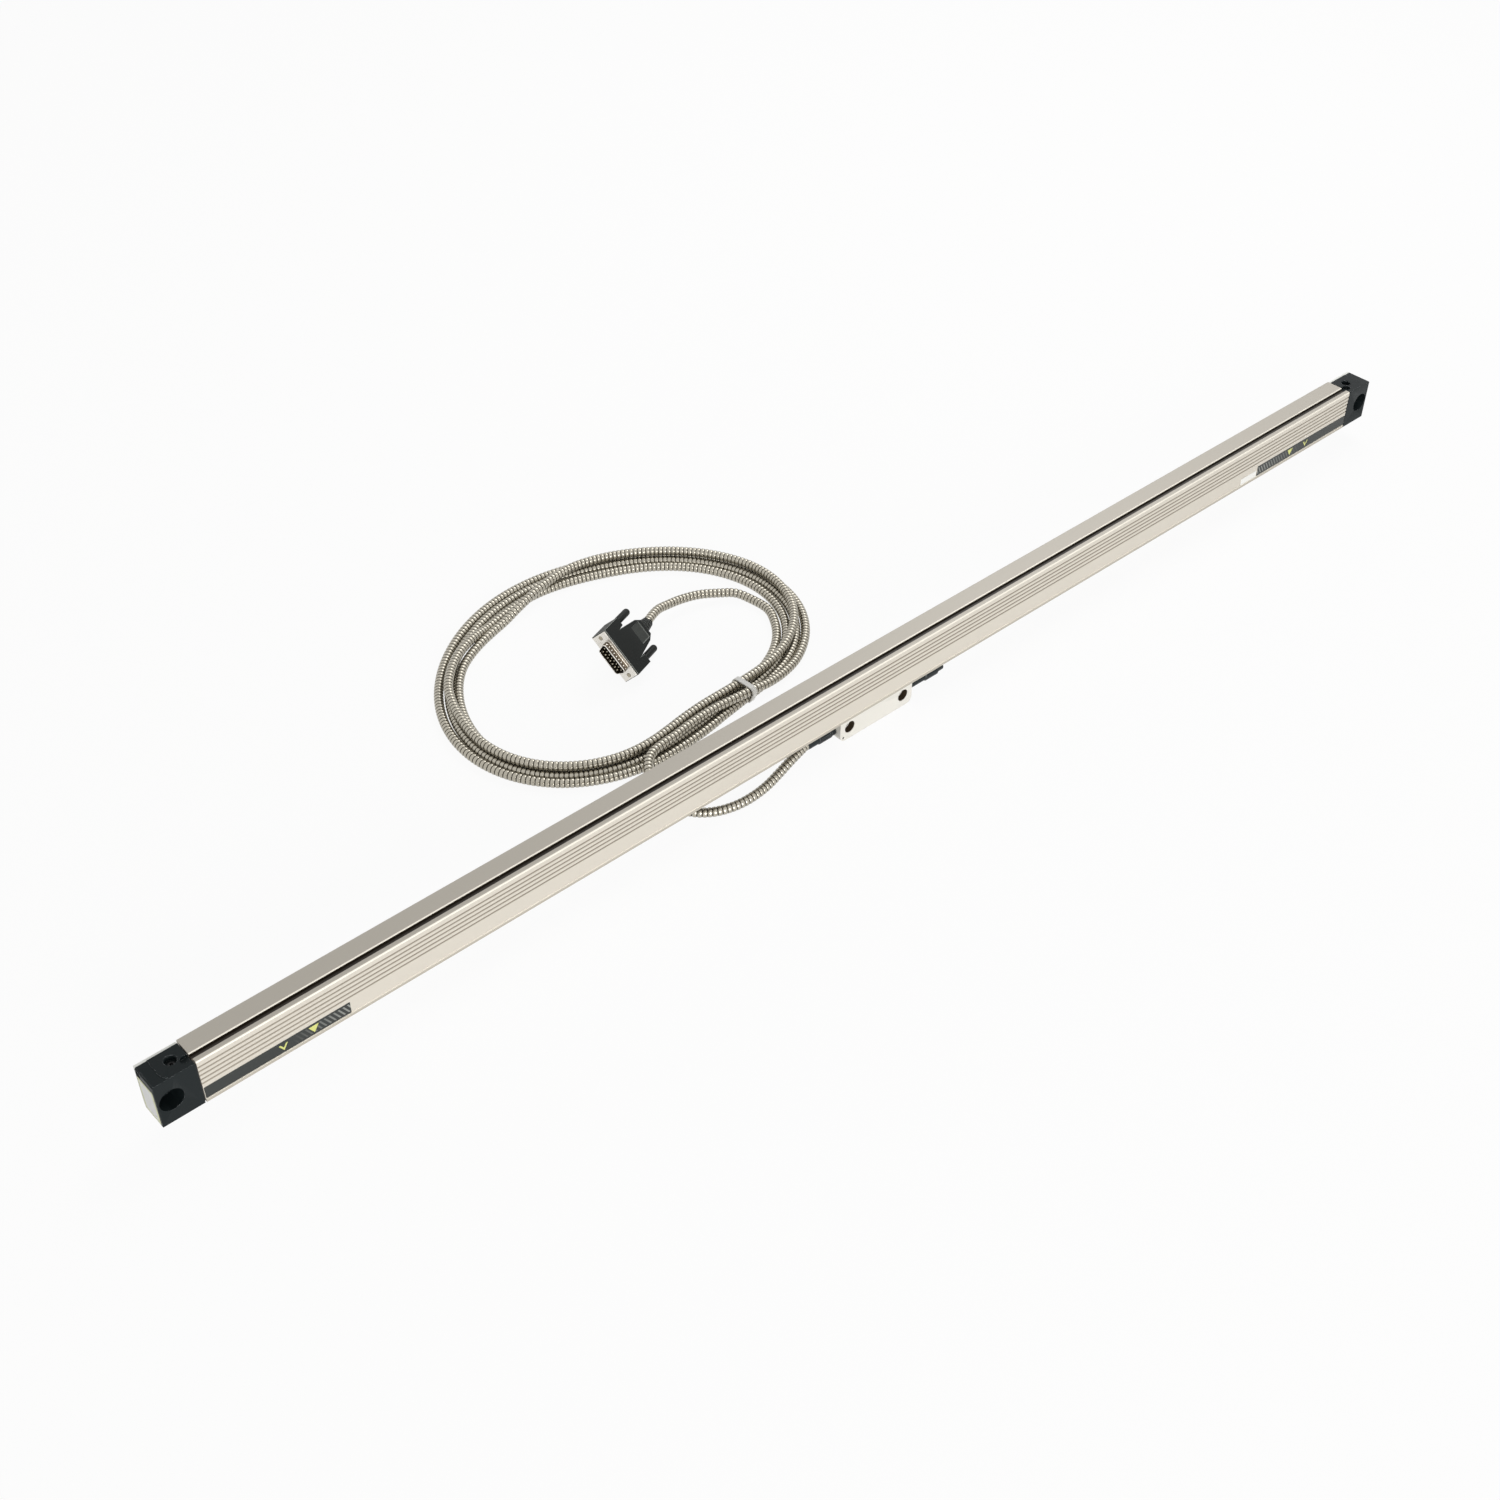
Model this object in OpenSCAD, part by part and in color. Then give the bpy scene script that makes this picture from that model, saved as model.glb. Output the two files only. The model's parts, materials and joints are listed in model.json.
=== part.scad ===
// Sealed linear glass scale: a slotted aluminium housing between two end blocks, a glass scale inside it,
// and a scanning head that slides underneath and carries an armoured cable with a 15-way plug.
// Frame: +X along the scale, +Y from the front face to the back face, +Z up. The origin lies on the surface
// that the head stands on, under the middle of the housing.

/* [Housing] */
// Length over both end blocks
total_l = 1130; // [800:10:2000]
// Width from front face to back face
body_w = 22.2; // [21:0.1:26]
// Height of the housing and its end blocks
body_h = 34; // [33:0.5:40]
// Thickness of the side walls
wall = 2.2; // [1.6:0.1:2.4]
// Thickness of the slotted floor
floor_t = 3; // [2.9:0.1:3.4]
// Thickness of the roof
roof_t = 5; // [4:0.1:6]
// Width of the slit in the floor
slit_w = 7; // [6:0.2:7.4]
// Radius of the front edge of the top
edge_r = 1.4; // [0.5:0.1:1.8]
// Radius of the back edge of the top
back_edge_r = 0.6; // [0.3:0.1:1.6]
// Height of the foot strip along the front face
foot_line = 2.6; // [2:0.1:2.8]
// How far the foot strip stands out of the front face
foot_out = 0.4; // [0.2:0.1:0.8]
// Width of the lip in front of the top groove
lip_w = 4; // [3:0.1:4.6]
// Width of the top groove
groove_w = 4; // [3:0.1:4.4]
// Depth of the top groove
groove_d = 2.1; // [1:0.1:2.6]
// Number of fine flutes along the front face
flute_count = 5; // [3:1:6]
// Distance between two flutes
flute_pitch = 3.4; // [2.4:0.1:3.6]
// Width of a flute
flute_w = 1.3; // [0.6:0.1:1.8]
// Depth of a flute
flute_d = 0.35; // [0.2:0.05:0.5]
// Height of the lowest flute above the housing's floor
flute_z = 15.6; // [14:0.1:16]

/* [End blocks] */
// Length of an end block
block_l = 26.7; // [26:0.1:34]
// Thickness of the light mounting pad behind the block
back_pad_t = 2.6; // [2:0.1:3]
// Thickness of the gasket between block and housing
gasket_t = 0.8; // [0.4:0.1:1.5]
// Distance of the gasket's edge inside the block's outline
gasket_in = 0.8; // [0.4:0.1:1]
// Distance of the fixing hole from the block's outer end
fix_in = 9; // [8.6:0.1:9.8]
// Diameter of the fixing hole, for M6
fix_d = 6.6; // [5.5:0.1:8.4]
// Diameter of its counterbore
fix_head_d = 15.5; // [12:0.1:16]
// Thickness of the seat behind the counterbore
fix_seat = 7.4; // [5:0.1:9]
// Distance of the air port from the block's outer end
port_in = 17.6; // [17:0.1:19]
// Distance of the air port from the front face
port_y = 11; // [10.4:0.1:11.2]
// Diameter of the air port's mouth
port_d = 7.2; // [6:0.1:7.4]
// Depth of the air port's mouth
port_depth = 3.5; // [2:0.1:4]
// Diameter of the air duct
duct_d = 4.2; // [3:0.1:4.4]
// Height of the raised pad on the block's top
pad_t = 0.4; // [0.2:0.1:0.8]
// Width of the lower strip outside the pad
pad_in = 7.7; // [5:0.1:9]
// Radius of the pad's front corner
pad_r = 6; // [3:0.2:7]
// Bevel along the block's upper outer edge
bevel = 0.8; // [0.3:0.1:1.2]
// Diameter of the screws that hold a block to the housing
end_screw_d = 2.5; // [2:0.1:2.8]
// Diameter of their heads
end_head_d = 4.5; // [3.8:0.1:4.8]
// Depth of those screws in the housing
end_screw_grip = 9; // [6:0.5:14]

/* [Glass scale] */
// Thickness of the glass
glass_t = 2.8; // [2:0.1:3]
// Height of the glass
glass_h = 13; // [12:0.1:14]
// Thickness of the bond over the glass
bond_t = 0.3; // [0.2:0.1:0.5]
// Depth of the bonding slot above the roof's inner face
slot_rise = 1.7; // [1:0.1:2]
// Height of the two ribs that flank the glass
rib_h = 2.6; // [1.5:0.1:3]
// Thickness of those ribs
rib_t = 1.2; // [0.8:0.1:1.5]
// Distance from the end of the glass to the end of the housing
glass_inset = 4; // [2:0.5:6]

/* [Lip seals] */
// Depth of the keys that hold the seals
seal_key = 1.2; // [0.8:0.1:1.3]
// Thickness of those keys
seal_t = 1.6; // [1.2:0.1:1.6]
// Gap between a lip and the blade
lip_gap = 0.15; // [0.1:0.05:0.3]

/* [Scanning head] */
// Place of the head along the scale
head_x = -6; // [-200:1:200]
// Length of the head
head_l = 70; // [68:0.5:80]
// Width of the head
head_w = 15.6; // [15:0.1:18]
// Height of the head
head_h = 17; // [16.5:0.5:22]
// Running gap between head and housing
run_gap = 1; // [0.5:0.1:2]
// Distance of the head's front face behind the housing's front face
setback = 1.2; // [0.6:0.1:1.4]
// Radius of the head's lower corners
head_r = 5; // [2:0.5:5.5]
// Distance between the two fixing holes
head_pitch = 52; // [51.4:0.1:54]
// Height of the fixing holes above the head's underside
head_fix_z = 10; // [9.5:0.1:10.5]
// Diameter of the fixing holes, for M5
head_fix_d = 5.5; // [5:0.1:5.6]
// Diameter of their counterbores
head_cb_d = 9.3; // [8:0.1:9.6]
// Depth of their counterbores
head_cb_depth = 5.5; // [4:0.1:5.6]
// Diameter of the locating pin in the head's lower corner
pin_d = 1.6; // [1:0.1:2]
// Distance of that pin from the head's end and underside
pin_in = 3; // [2.6:0.1:3.2]

/* [Carriage] */
// Thickness of the blade between the lips
blade_t = 1.8; // [1.4:0.1:2]
// Length of the blade
blade_l = 44; // [40:0.5:44]
// Width of the blade's foot
foot_w = 7.6; // [7.2:0.1:8]
// Thickness of the blade's foot
foot_t = 3; // [2.4:0.1:3.2]
// Height of the blade's top edge above the housing's underside
blade_top = 7.4; // [6.8:0.1:7.6]
// Length of the carriage
carriage_l = 56; // [54:0.5:60]
// Width of the carriage
carriage_w = 13; // [12.6:0.1:13.2]
// Height of the carriage's underside above the housing's underside
carriage_z = 9.6; // [9.4:0.1:9.8]
// Height of the carriage's arms above its upper shelves
arm_over = 0.3; // [0.1:0.1:0.8]
// Thickness of the carriage's floor
carriage_floor = 1.4; // [1.2:0.1:1.5]
// Thickness of the carriage's two arms
arm_t = 1; // [0.8:0.1:1.1]
// Distance of the rollers from the carriage's ends
roller_in = 8; // [6:0.5:8.5]
// Radius of the rollers on the edge of the glass
edge_roller_r = 3; // [2.6:0.05:3.1]
// Width of those rollers
edge_roller_w = 2.4; // [1.8:0.1:2.6]
// Radius of the rollers on the face of the glass
face_roller_r = 1.8; // [1.5:0.05:1.85]
// Width of those rollers
face_roller_w = 3; // [2.4:0.1:3.2]
// Distance between a roller and the glass
roller_gap = 0.1; // [0.05:0.01:0.15]
// Radius of the pins of the edge rollers
edge_pin_r = 0.95; // [0.7:0.05:1]
// Radius of the pins of the face rollers
face_pin_r = 0.7; // [0.5:0.05:0.8]
// Running clearance round a roller's pin
run_fit = 0.05; // [0.03:0.01:0.08]
// Distance between the reticle and the glass
scan_gap = 0.5; // [0.4:0.05:0.6]
// Thickness of the reticle
reticle_t = 0.5; // [0.4:0.05:0.6]
// Width of the light module
led_l = 16; // [14:0.5:18]
// Diameter of the light module's lens
lens_d = 6.4; // [5:0.1:7]
// Diameter of the coupling wire
wire_d = 0.8; // [0.5:0.1:0.9]

/* [Head connector] */
// Height of the cable ports above the head's underside
conn_z = 8; // [7.5:0.1:8.5]
// Diameter of the port's thread
conn_thread_d = 5.8; // [5:0.1:6]
// Depth of the ports
conn_depth = 3.8; // [3:0.1:4]
// Thickness of the port seals
conn_seal_t = 0.6; // [0.4:0.1:1]
// Diameter of the connector's shoulder
shoulder_d = 7.8; // [7:0.1:9]
// Length of that shoulder with its seal
shoulder_l = 4; // [3:0.5:6]
// Diameter of the collar
collar_d = 8.8; // [8:0.1:10]
// Length of the collar
collar_l = 12; // [8:0.5:14]
// Diameter of the tail sleeve
sleeve_d = 7.6; // [7.2:0.1:8.6]
// Length of the tail sleeve
sleeve_l = 10; // [8:0.5:14]
// Length of the blind plug in the unused port
blank_l = 38; // [30:1:44]
// Diameter of the blind plug's stem
blank_d = 6.6; // [6:0.1:7.6]

/* [Cable] */
// Outer diameter of the armoured cable
cable_d = 7; // [6:0.5:8]
// Height of the coil
coil_h = 14.5; // [12:0.5:18]
// Width of the cable tie
tie_w = 4.3; // [3:0.1:6]
// Thickness of the cable tie
tie_t = 0.8; // [0.5:0.1:1.2]

/* [Plug] */
// Length of the flange
flange_l = 39.2; // [38.6:0.1:40]
// Width of the flange
flange_w = 12.5; // [12:0.1:13]
// Thickness of the flange
flange_t = 1; // [0.6:0.1:1.4]
// Distance between the two thumb screws
jack_pitch = 33.3; // [33:0.1:33.6]
// Length of the shell's mouth
shell_l = 25.2; // [24.6:0.1:25.6]
// Width of the shell's mouth
shell_w = 8.3; // [8:0.1:8.6]
// Depth of the shell in front of the flange
shell_depth = 5.9; // [5:0.1:6.5]
// Wall of the shell
shell_t = 0.5; // [0.3:0.05:0.6]
// Slope of the shell's short sides
shell_slope = 10; // [8:1:12]
// Distance between two pins of a row
pin_pitch = 2.77; // [2.6:0.01:2.8]
// Distance between the two rows of pins
row_pitch = 2.84; // [2.6:0.01:2.9]
// Diameter of a contact pin
contact_d = 1; // [0.8:0.05:1.2]
// Length of the hood behind the flange
hood_l = 41; // [38:0.5:44]
// Thickness of the hood
hood_t = 14; // [13.6:0.1:15]
// Length of the hood's two ears
ear_l = 20; // [18:0.5:22]
// Diameter of the thumb screws' grips
grip_d = 5.6; // [4.6:0.1:6]
// Length of those grips
grip_l = 23; // [18:0.5:26]
// Length of the boot
boot_l = 12; // [11:0.5:15]
// Diameter of the boot where it meets the hood
boot_d = 12; // [11:0.1:12.4]

/* [Hidden] */
$fn = 48;

// overlap of a cutting solid with the open side that it leaves through
cut = 1;
// clearance of a seated piece in its recess
seat_fit = 0.05;

// housing
housing_z = head_h + run_gap;
housing_l = total_l - 2 * (block_l + gasket_t);
half_w = body_w / 2;
half_h = body_h / 2;
cavity_w = body_w - 2 * wall;
cavity_h = body_h - floor_t - roof_t;
roof_z = body_h - roof_t;
groove_y = lip_w - half_w;
flute_r = (flute_w * flute_w / 4 + flute_d * flute_d) / (2 * flute_d);
foot_r = 0.9;
block_w = body_w - back_pad_t;
slot_w = glass_t + 2 * seat_fit;
glass_z = roof_z + slot_rise - bond_t - glass_h;
// screw channels, clear of the keyways and inside the end block's outline
front_channel = 3.2 - half_w;
back_channel = half_w - back_pad_t - end_head_d / 2 - 0.65;
channel_low = 4.6;
channel_high = body_h - 3.6;
channels = [[front_channel, channel_low], [back_channel, channel_low], [back_channel, channel_high]];
channel_boss = end_screw_d / 2 + 1;
seal_z = 1.2;
lip_y = blade_t / 2 + lip_gap;

// head
head_y = setback - half_w;
head_mid_y = head_y + head_w / 2;
foot_z = head_h - foot_t;
thread_clear = 0.05;

// carriage, measured from the housing's underside
arm_y = carriage_w / 2 - arm_t;
edge_roller_z = glass_z - roller_gap - edge_roller_r;
face_roller_y = -glass_t / 2 - roller_gap - face_roller_r;
face_roller_z = glass_z + 4.3;
shelf_gap = 0.2;
shelf_t = 0.8;
shelf_low = face_roller_z - face_roller_w / 2 - shelf_gap - shelf_t;
shelf_high = face_roller_z + face_roller_w / 2 + shelf_gap;
arm_h = shelf_high + shelf_t + arm_over - carriage_z;
roller_pitch = carriage_l - 2 * roller_in;
window_l = 3.6;
window_h = 4;
window_x = roller_pitch / 2 - edge_roller_r - window_l - 0.2;
reticle_y = -glass_t / 2 - scan_gap - reticle_t;
scan_z = glass_z + 3.5;
led_h = 9;
board_l = led_l + 6;
board_h = led_h + 1;
board_t = 1.2;
post_x = 16;
lug_x = 14;
wire_z = blade_top + 1.1;

// connector
conn_l = shoulder_l + collar_l + sleeve_l;
spigot_l = conn_depth - 0.2;
stem_r = 3;

// plug: where its flange lies, and how the plug is rolled, pitched and turned
plug_at = [-114.2, 148, 22.2];
plug_turn = [-47, -7, 205];
plug_l = flange_t + hood_l + boot_l;
plug_back = -[cos(plug_turn[1]) * cos(plug_turn[2]), cos(plug_turn[1]) * sin(plug_turn[2]),
              -sin(plug_turn[1])];
boot_end_d = 8.6;
ear_w = 7;
hood_over = 0.6;
hood_shoulder_w = 19;
hood_shoulder_l = 6;
hood_end_w = 12.4;
hood_end_t = 12.4;
jack_r = 1.45;

// coil: each outline is a circle drawn out to an oval and to an egg, by the angle at its centre
outer_at = [-98, 165.5];
outer_r = 132;
outer_oval = 17.5;
outer_egg = 5.6;
inner_at = [-103, 158.5];
inner_r = 102;
inner_oval = 22.5;
inner_egg = 2.9;
oval_turn = 4;
egg_turn = -24;
tie_turn = -62;
function egg_radius(turn, r, oval, egg) =
    r + oval * cos(2 * (turn - oval_turn)) + egg * cos(3 * (turn - egg_turn));
function egg_line(at, r, oval, egg) =
    [for (turn = [0 : 6 : 354]) at + egg_radius(turn, r, oval, egg) * [cos(turn), sin(turn)]];

// cable: points on the middle of the cable, from the connector to the coil and from the coil to the boot
lead_route = [[-84, -6, 7], [-98, -9, 5], [-113, -12, 3.6], [-129, -13.5, 3.6], [-143, -12, 3.6],
              [-156, -7, 3.6], [-166, 2, 3.6], [-172, 15, 3.8], [-173, 29, 5.5], [-169, 42, 8.5],
              [-162, 53, 10.5], [-153, 60, 10.7]];
tail_route = [[21, 155.5, 3.6], [16, 165.5, 5.2], [7, 172.5, 5.8], [-7, 179, 7.8], [-22, 181.5, 9.9],
              [-38, 180.5, 12.7], [-51.5, 177.6, 15.2]];
lead_start = [head_x - head_l / 2 - conn_l, head_mid_y, conn_z];
tail_end = plug_at + plug_l * plug_back;

// ---- shared shapes ----

// what is removed from a square corner at the origin, with the material towards +x and +y
module round_cut(r) {
    difference() {
        translate([-cut, -cut]) square(r + cut);
        translate([r, r]) circle(r);
    }
}

// a profile in y and z, drawn out along X from x0 over length l
module along_x(x0, l) {
    translate([x0, 0, 0]) rotate([90, 0, 90]) linear_extrude(l) children();
}

// a round bar or hole along Y
module bar_y(x, y0, z, d, l) {
    translate([x, y0, z]) rotate([-90, 0, 0]) cylinder(d = d, h = l);
}

// a round bar or hole along X
module bar_x(x0, y, z, d, l) {
    translate([x0, y, z]) rotate([0, 90, 0]) cylinder(d = d, h = l);
}

// a turned piece along +X, from points of radius and distance
module turned_x(points) {
    rotate([0, 90, 0]) rotate_extrude($fn = 64) polygon(points);
}

// the same shape at both ends of the scale
module both_ends() {
    children();
    mirror([1, 0, 0]) children();
}

function unit(v) = v / norm(v);
function heading(route, i) =
    unit(route[min(i + 1, len(route) - 1)] - route[max(i - 1, 0)]);
function ring_points(at, way, r, sides) =
    let (side = unit(cross([0, 0, 1], way)), up = cross(way, side))
    [for (k = [0 : sides - 1]) at + r * (cos(360 * k / sides) * side + sin(360 * k / sides) * up)];

// a closed tube with one ring of points at each point of its route
module tube(route, d, sides = 10) {
    rings = len(route);
    points = [for (i = [0 : rings - 1]) each ring_points(route[i], heading(route, i), d / 2, sides)];
    skin = [for (i = [0 : rings - 2], k = [0 : sides - 1])
        let (next = (k + 1) % sides)
        [i * sides + k, (i + 1) * sides + k, (i + 1) * sides + next, i * sides + next]];
    start_cap = [[for (k = [0 : sides - 1]) k]];
    end_cap = [[for (k = [sides - 1 : -1 : 0]) (rings - 1) * sides + k]];
    polyhedron(points = points, faces = concat(skin, start_cap, end_cap));
}

// ---- housing and end blocks ----

module housing_solid() {
    difference() {
        union() {
            translate([-half_w, 0]) square([body_w, body_h]);
            translate([-half_w - foot_out, 0]) square([foot_out + cut, foot_line]);
        }
        translate([-cavity_w / 2, floor_t]) square([cavity_w, cavity_h]);
    }
    translate([-slot_w / 2 - rib_t, roof_z - rib_h]) square([slot_w + 2 * rib_t, rib_h + cut]);
    intersection() {
        translate([-half_w, 0]) square([body_w, body_h]);
        for (at = channels) translate(at) circle(channel_boss);
    }
}

module housing_section() {
    difference() {
        housing_solid();
        // outer edges
        translate([-half_w, body_h]) mirror([0, 1]) round_cut(edge_r);
        translate([half_w, body_h]) rotate(180) round_cut(back_edge_r);
        translate([half_w, 0]) mirror([1, 0]) round_cut(foot_r);
        translate([-half_w - foot_out, 0]) round_cut(foot_out);
        // top groove with rounded edges
        translate([groove_y, body_h - groove_d]) square([groove_w, groove_d + cut]);
        translate([groove_y, body_h]) rotate(180) round_cut(0.4);
        translate([groove_y + groove_w, body_h]) mirror([0, 1]) round_cut(1.1);
        // flutes of the front face
        for (i = [0 : flute_count - 1])
            translate([flute_d - flute_r - half_w, flute_z + i * flute_pitch]) circle(flute_r);
        // slot of the glass
        translate([-slot_w / 2, roof_z - rib_h - cut]) square([slot_w, rib_h + cut + slot_rise]);
        // slit and the keyways of its seals
        translate([-slit_w / 2, -cut]) square([slit_w, floor_t + 2 * cut]);
        translate([-slit_w / 2 - seal_key, seal_z]) square([slit_w + 2 * seal_key, seal_t]);
        // channels of the end block screws
        for (at = channels) translate(at) circle(d = end_screw_d);
    }
}

module scale_housing() {
    color("#bdb6a6") translate([0, 0, housing_z]) along_x(-housing_l / 2, housing_l) housing_section();
}

// raised pad on the block's top, from the inner face and round the port
module pad_outline() {
    pad_l = block_l - pad_in;
    difference() {
        translate([0, -half_w]) square([pad_l, block_w]);
        translate([pad_l, -half_w]) mirror([1, 0]) round_cut(pad_r);
    }
}

// the right end block, from its inner face at x = 0
module end_block_shape() {
    fix_x = block_l - fix_in;
    port_x = block_l - port_in;
    difference() {
        union() {
            translate([0, -half_w, 0]) cube([block_l, block_w, body_h - pad_t]);
            linear_extrude(body_h) pad_outline();
        }
        // bevel of the outer upper edge
        translate([block_l, -half_w - cut, body_h - pad_t - bevel]) rotate([0, -45, 0])
            cube([4 * bevel, body_w + 2 * cut, 4 * bevel]);
        // fixing hole and its counterbore
        bar_y(fix_x, -half_w - cut, half_h, fix_d, block_w + 2 * cut);
        bar_y(fix_x, -half_w - cut, half_h, fix_head_d, block_w - fix_seat + cut);
        // air port, its rim and its duct into the housing
        translate([port_x, port_y - half_w, 0]) {
            translate([0, 0, body_h - port_depth]) cylinder(d = port_d, h = port_depth + cut);
            translate([0, 0, body_h - 0.4]) cylinder(d1 = port_d, d2 = port_d + 1, h = 0.5);
            translate([0, 0, body_h - port_depth - 5]) cylinder(d = duct_d, h = 5 + cut);
        }
        bar_x(-cut, port_y - half_w, body_h - port_depth - 5, duct_d, port_x + cut);
        // notch that continues the housing's groove
        translate([-cut, groove_y - 1, body_h - groove_d]) cube([cut + 2.7, groove_w + 2, groove_d + cut]);
        translate([2.7, groove_y + groove_w / 2, body_h - groove_d])
            cylinder(d = groove_w + 2, h = groove_d + cut);
        // screws into the housing
        for (at = channels) {
            bar_x(-cut, at[0], at[1], end_screw_d + 0.3, block_l + 2 * cut);
            bar_x(block_l - end_screw_d - 0.5, at[0], at[1], end_head_d + 0.3, end_screw_d + 0.5 + cut);
        }
    }
}

module placed_block() {
    translate([housing_l / 2 + gasket_t, 0, housing_z]) end_block_shape();
}

module left_end_block() {
    color("#1c1f21") mirror([1, 0, 0]) placed_block();
}

module right_end_block() {
    color("#1c1f21") placed_block();
}

// light metal plate behind the block, flush with the housing's back face
module mounting_pad() {
    edge = 0.6;
    difference() {
        translate([0, half_w - back_pad_t, 0]) cube([block_l - edge, back_pad_t, body_h - edge]);
        translate([-cut, half_w, body_h - 2 * edge]) rotate([45, 0, 0])
            cube([block_l + 2 * cut, 4 * edge, 4 * edge]);
        bar_y(block_l - fix_in, half_w - back_pad_t - cut, half_h, fix_d, back_pad_t + 2 * cut);
    }
}

module mounting_pads() {
    color("#c9cbc4") both_ends() translate([housing_l / 2 + gasket_t, 0, housing_z]) mounting_pad();
}

module gasket_section() {
    difference() {
        translate([gasket_in - half_w, gasket_in])
            square([block_w - 2 * gasket_in, body_h - groove_d - 2 * gasket_in]);
        translate([-cavity_w / 2 + 2, floor_t + 4]) square([cavity_w - 4, cavity_h - 8]);
        for (at = channels) translate(at) circle(d = end_screw_d + 0.3);
    }
}

module end_gaskets() {
    color("#26282a") both_ends() translate([housing_l / 2, 0, housing_z]) along_x(0, gasket_t)
        gasket_section();
}

// a cap screw from the block's outer end into the housing's channel
module end_screw() {
    outer = housing_l / 2 + gasket_t + block_l - 0.5;
    tip = housing_l / 2 - end_screw_grip;
    difference() {
        union() {
            bar_x(tip, 0, 0, end_screw_d - 2 * seat_fit, outer - tip);
            bar_x(outer - end_screw_d, 0, 0, end_head_d, end_screw_d);
        }
        translate([outer - end_screw_d / 2, 0, 0]) rotate([0, 90, 0])
            cylinder(d = end_screw_d * 0.95, h = end_screw_d, $fn = 6);
    }
}

module end_block_screws() {
    color("#4b4d50") translate([0, 0, housing_z]) both_ends()
        for (at = channels) translate([0, at[0], at[1]]) end_screw();
}

module air_port_screws() {
    top = housing_z + body_h - port_depth;
    color("#3a3c3f") both_ends()
        translate([total_l / 2 - port_in, port_y - half_w, top - duct_d * 0.6]) difference() {
            cylinder(d = duct_d - 2 * seat_fit, h = duct_d * 0.6);
            translate([0, 0, duct_d * 0.3]) cylinder(d = duct_d * 0.55, h = duct_d, $fn = 6);
        }
}

module glass_scale() {
    color("#b9d6cf") translate([0, 0, housing_z + glass_z])
        translate([glass_inset - housing_l / 2, -glass_t / 2, 0])
        cube([housing_l - 2 * glass_inset, glass_t, glass_h]);
}

module glass_bond() {
    color("#d8d4c4") translate([0, 0, housing_z + glass_z + glass_h])
        translate([glass_inset - housing_l / 2, -glass_t / 2, 0])
        cube([housing_l - 2 * glass_inset, glass_t, bond_t]);
}

// the lip seal on the +Y side of the slit: a key in the floor and a lip that slopes down to the blade
module lip_section() {
    key_y = slit_w / 2 + seal_key;
    polygon([[key_y, seal_z], [key_y, seal_z + seal_t], [slit_w / 2 - 0.3, seal_z + seal_t],
             [lip_y, seal_z - 0.2], [lip_y, seal_z - 0.8], [slit_w / 2, seal_z]]);
}

module front_lip_seal() {
    color("#2b2b2b") translate([0, 0, housing_z]) along_x(-housing_l / 2, housing_l)
        mirror([1, 0]) lip_section();
}

module rear_lip_seal() {
    color("#2b2b2b") translate([0, 0, housing_z]) along_x(-housing_l / 2, housing_l) lip_section();
}

// ---- scanning head ----

module head_profile() {
    difference() {
        translate([-head_l / 2, 0]) square([head_l, head_h]);
        translate([-head_l / 2, 0]) round_cut(head_r);
        translate([head_l / 2, 0]) mirror([1, 0]) round_cut(head_r);
    }
}

// the four places of the screws in the blade's foot
module at_blade_screws() {
    for (sx = [-1, 1], sy = [-1, 1])
        translate([head_x + sx * (blade_l / 2 - 6), sy * (blade_t + foot_w) / 4, 0]) children();
}

module head_block() {
    color("#cbc6b8") difference() {
        translate([head_x, head_y + head_w, 0]) rotate([90, 0, 0]) linear_extrude(head_w) head_profile();
        for (side = [-1, 1]) {
            x = head_x + side * head_pitch / 2;
            bar_y(x, head_y - cut, head_fix_z, head_fix_d, head_w + 2 * cut);
            bar_y(x, head_y - cut, head_fix_z, head_cb_d, head_cb_depth + cut);
        }
        // cable ports in both ends
        bar_x(head_x - head_l / 2 - cut, head_mid_y, conn_z, conn_thread_d, conn_depth + cut);
        bar_x(head_x + head_l / 2 - conn_depth, head_mid_y, conn_z, conn_thread_d, conn_depth + cut);
        // pocket of the blade's foot
        translate([head_x - blade_l / 2 - seat_fit, -foot_w / 2 - seat_fit, foot_z])
            cube([blade_l + 2 * seat_fit, foot_w + 2 * seat_fit, foot_t + cut]);
        at_blade_screws() translate([0, 0, foot_z - 5]) cylinder(d = 1.8, h = 5 + cut);
        // hole of the locating pin
        bar_y(head_x - head_l / 2 + pin_in, head_y - cut, pin_in, pin_d, cut + 3);
    }
}

module head_pin() {
    color("#5a5650") bar_y(head_x - head_l / 2 + pin_in, head_y + 0.1, pin_in, pin_d - 2 * seat_fit, 2.9);
}

module head_blade() {
    web_h = housing_z + blade_top - head_h;
    post_h = wire_z + wire_d / 2 + 0.3 - blade_top;
    color("#a8a9a8") difference() {
        union() {
            translate([head_x - blade_l / 2, -foot_w / 2, foot_z]) cube([blade_l, foot_w, foot_t]);
            translate([head_x - blade_l / 2, -blade_t / 2, head_h]) cube([blade_l, blade_t, web_h]);
            translate([head_x - post_x - 2, -blade_t / 2, housing_z + blade_top])
                cube([2, blade_t, post_h]);
        }
        at_blade_screws() translate([0, 0, foot_z - cut]) cylinder(d = 2, h = foot_t + 2 * cut);
        at_blade_screws() translate([0, 0, head_h - 1]) cylinder(d = 2.7, h = 1 + cut);
    }
}

module blade_screws() {
    color("#77787a") at_blade_screws() difference() {
        union() {
            translate([0, 0, foot_z - 4.5]) cylinder(d = 1.7, h = foot_t + 3.6);
            translate([0, 0, head_h - 1]) cylinder(d = 2.6, h = 0.9);
        }
        translate([0, 0, head_h - 0.6]) cylinder(d = 1.2, h = 1, $fn = 6);
    }
}

// pieces of the carriage, from the head's middle and the housing's underside
module on_carriage() {
    translate([head_x, 0, housing_z]) children();
}

module roller_places() {
    for (side = [-1, 1]) translate([side * roller_pitch / 2, 0, 0]) children();
}

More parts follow.
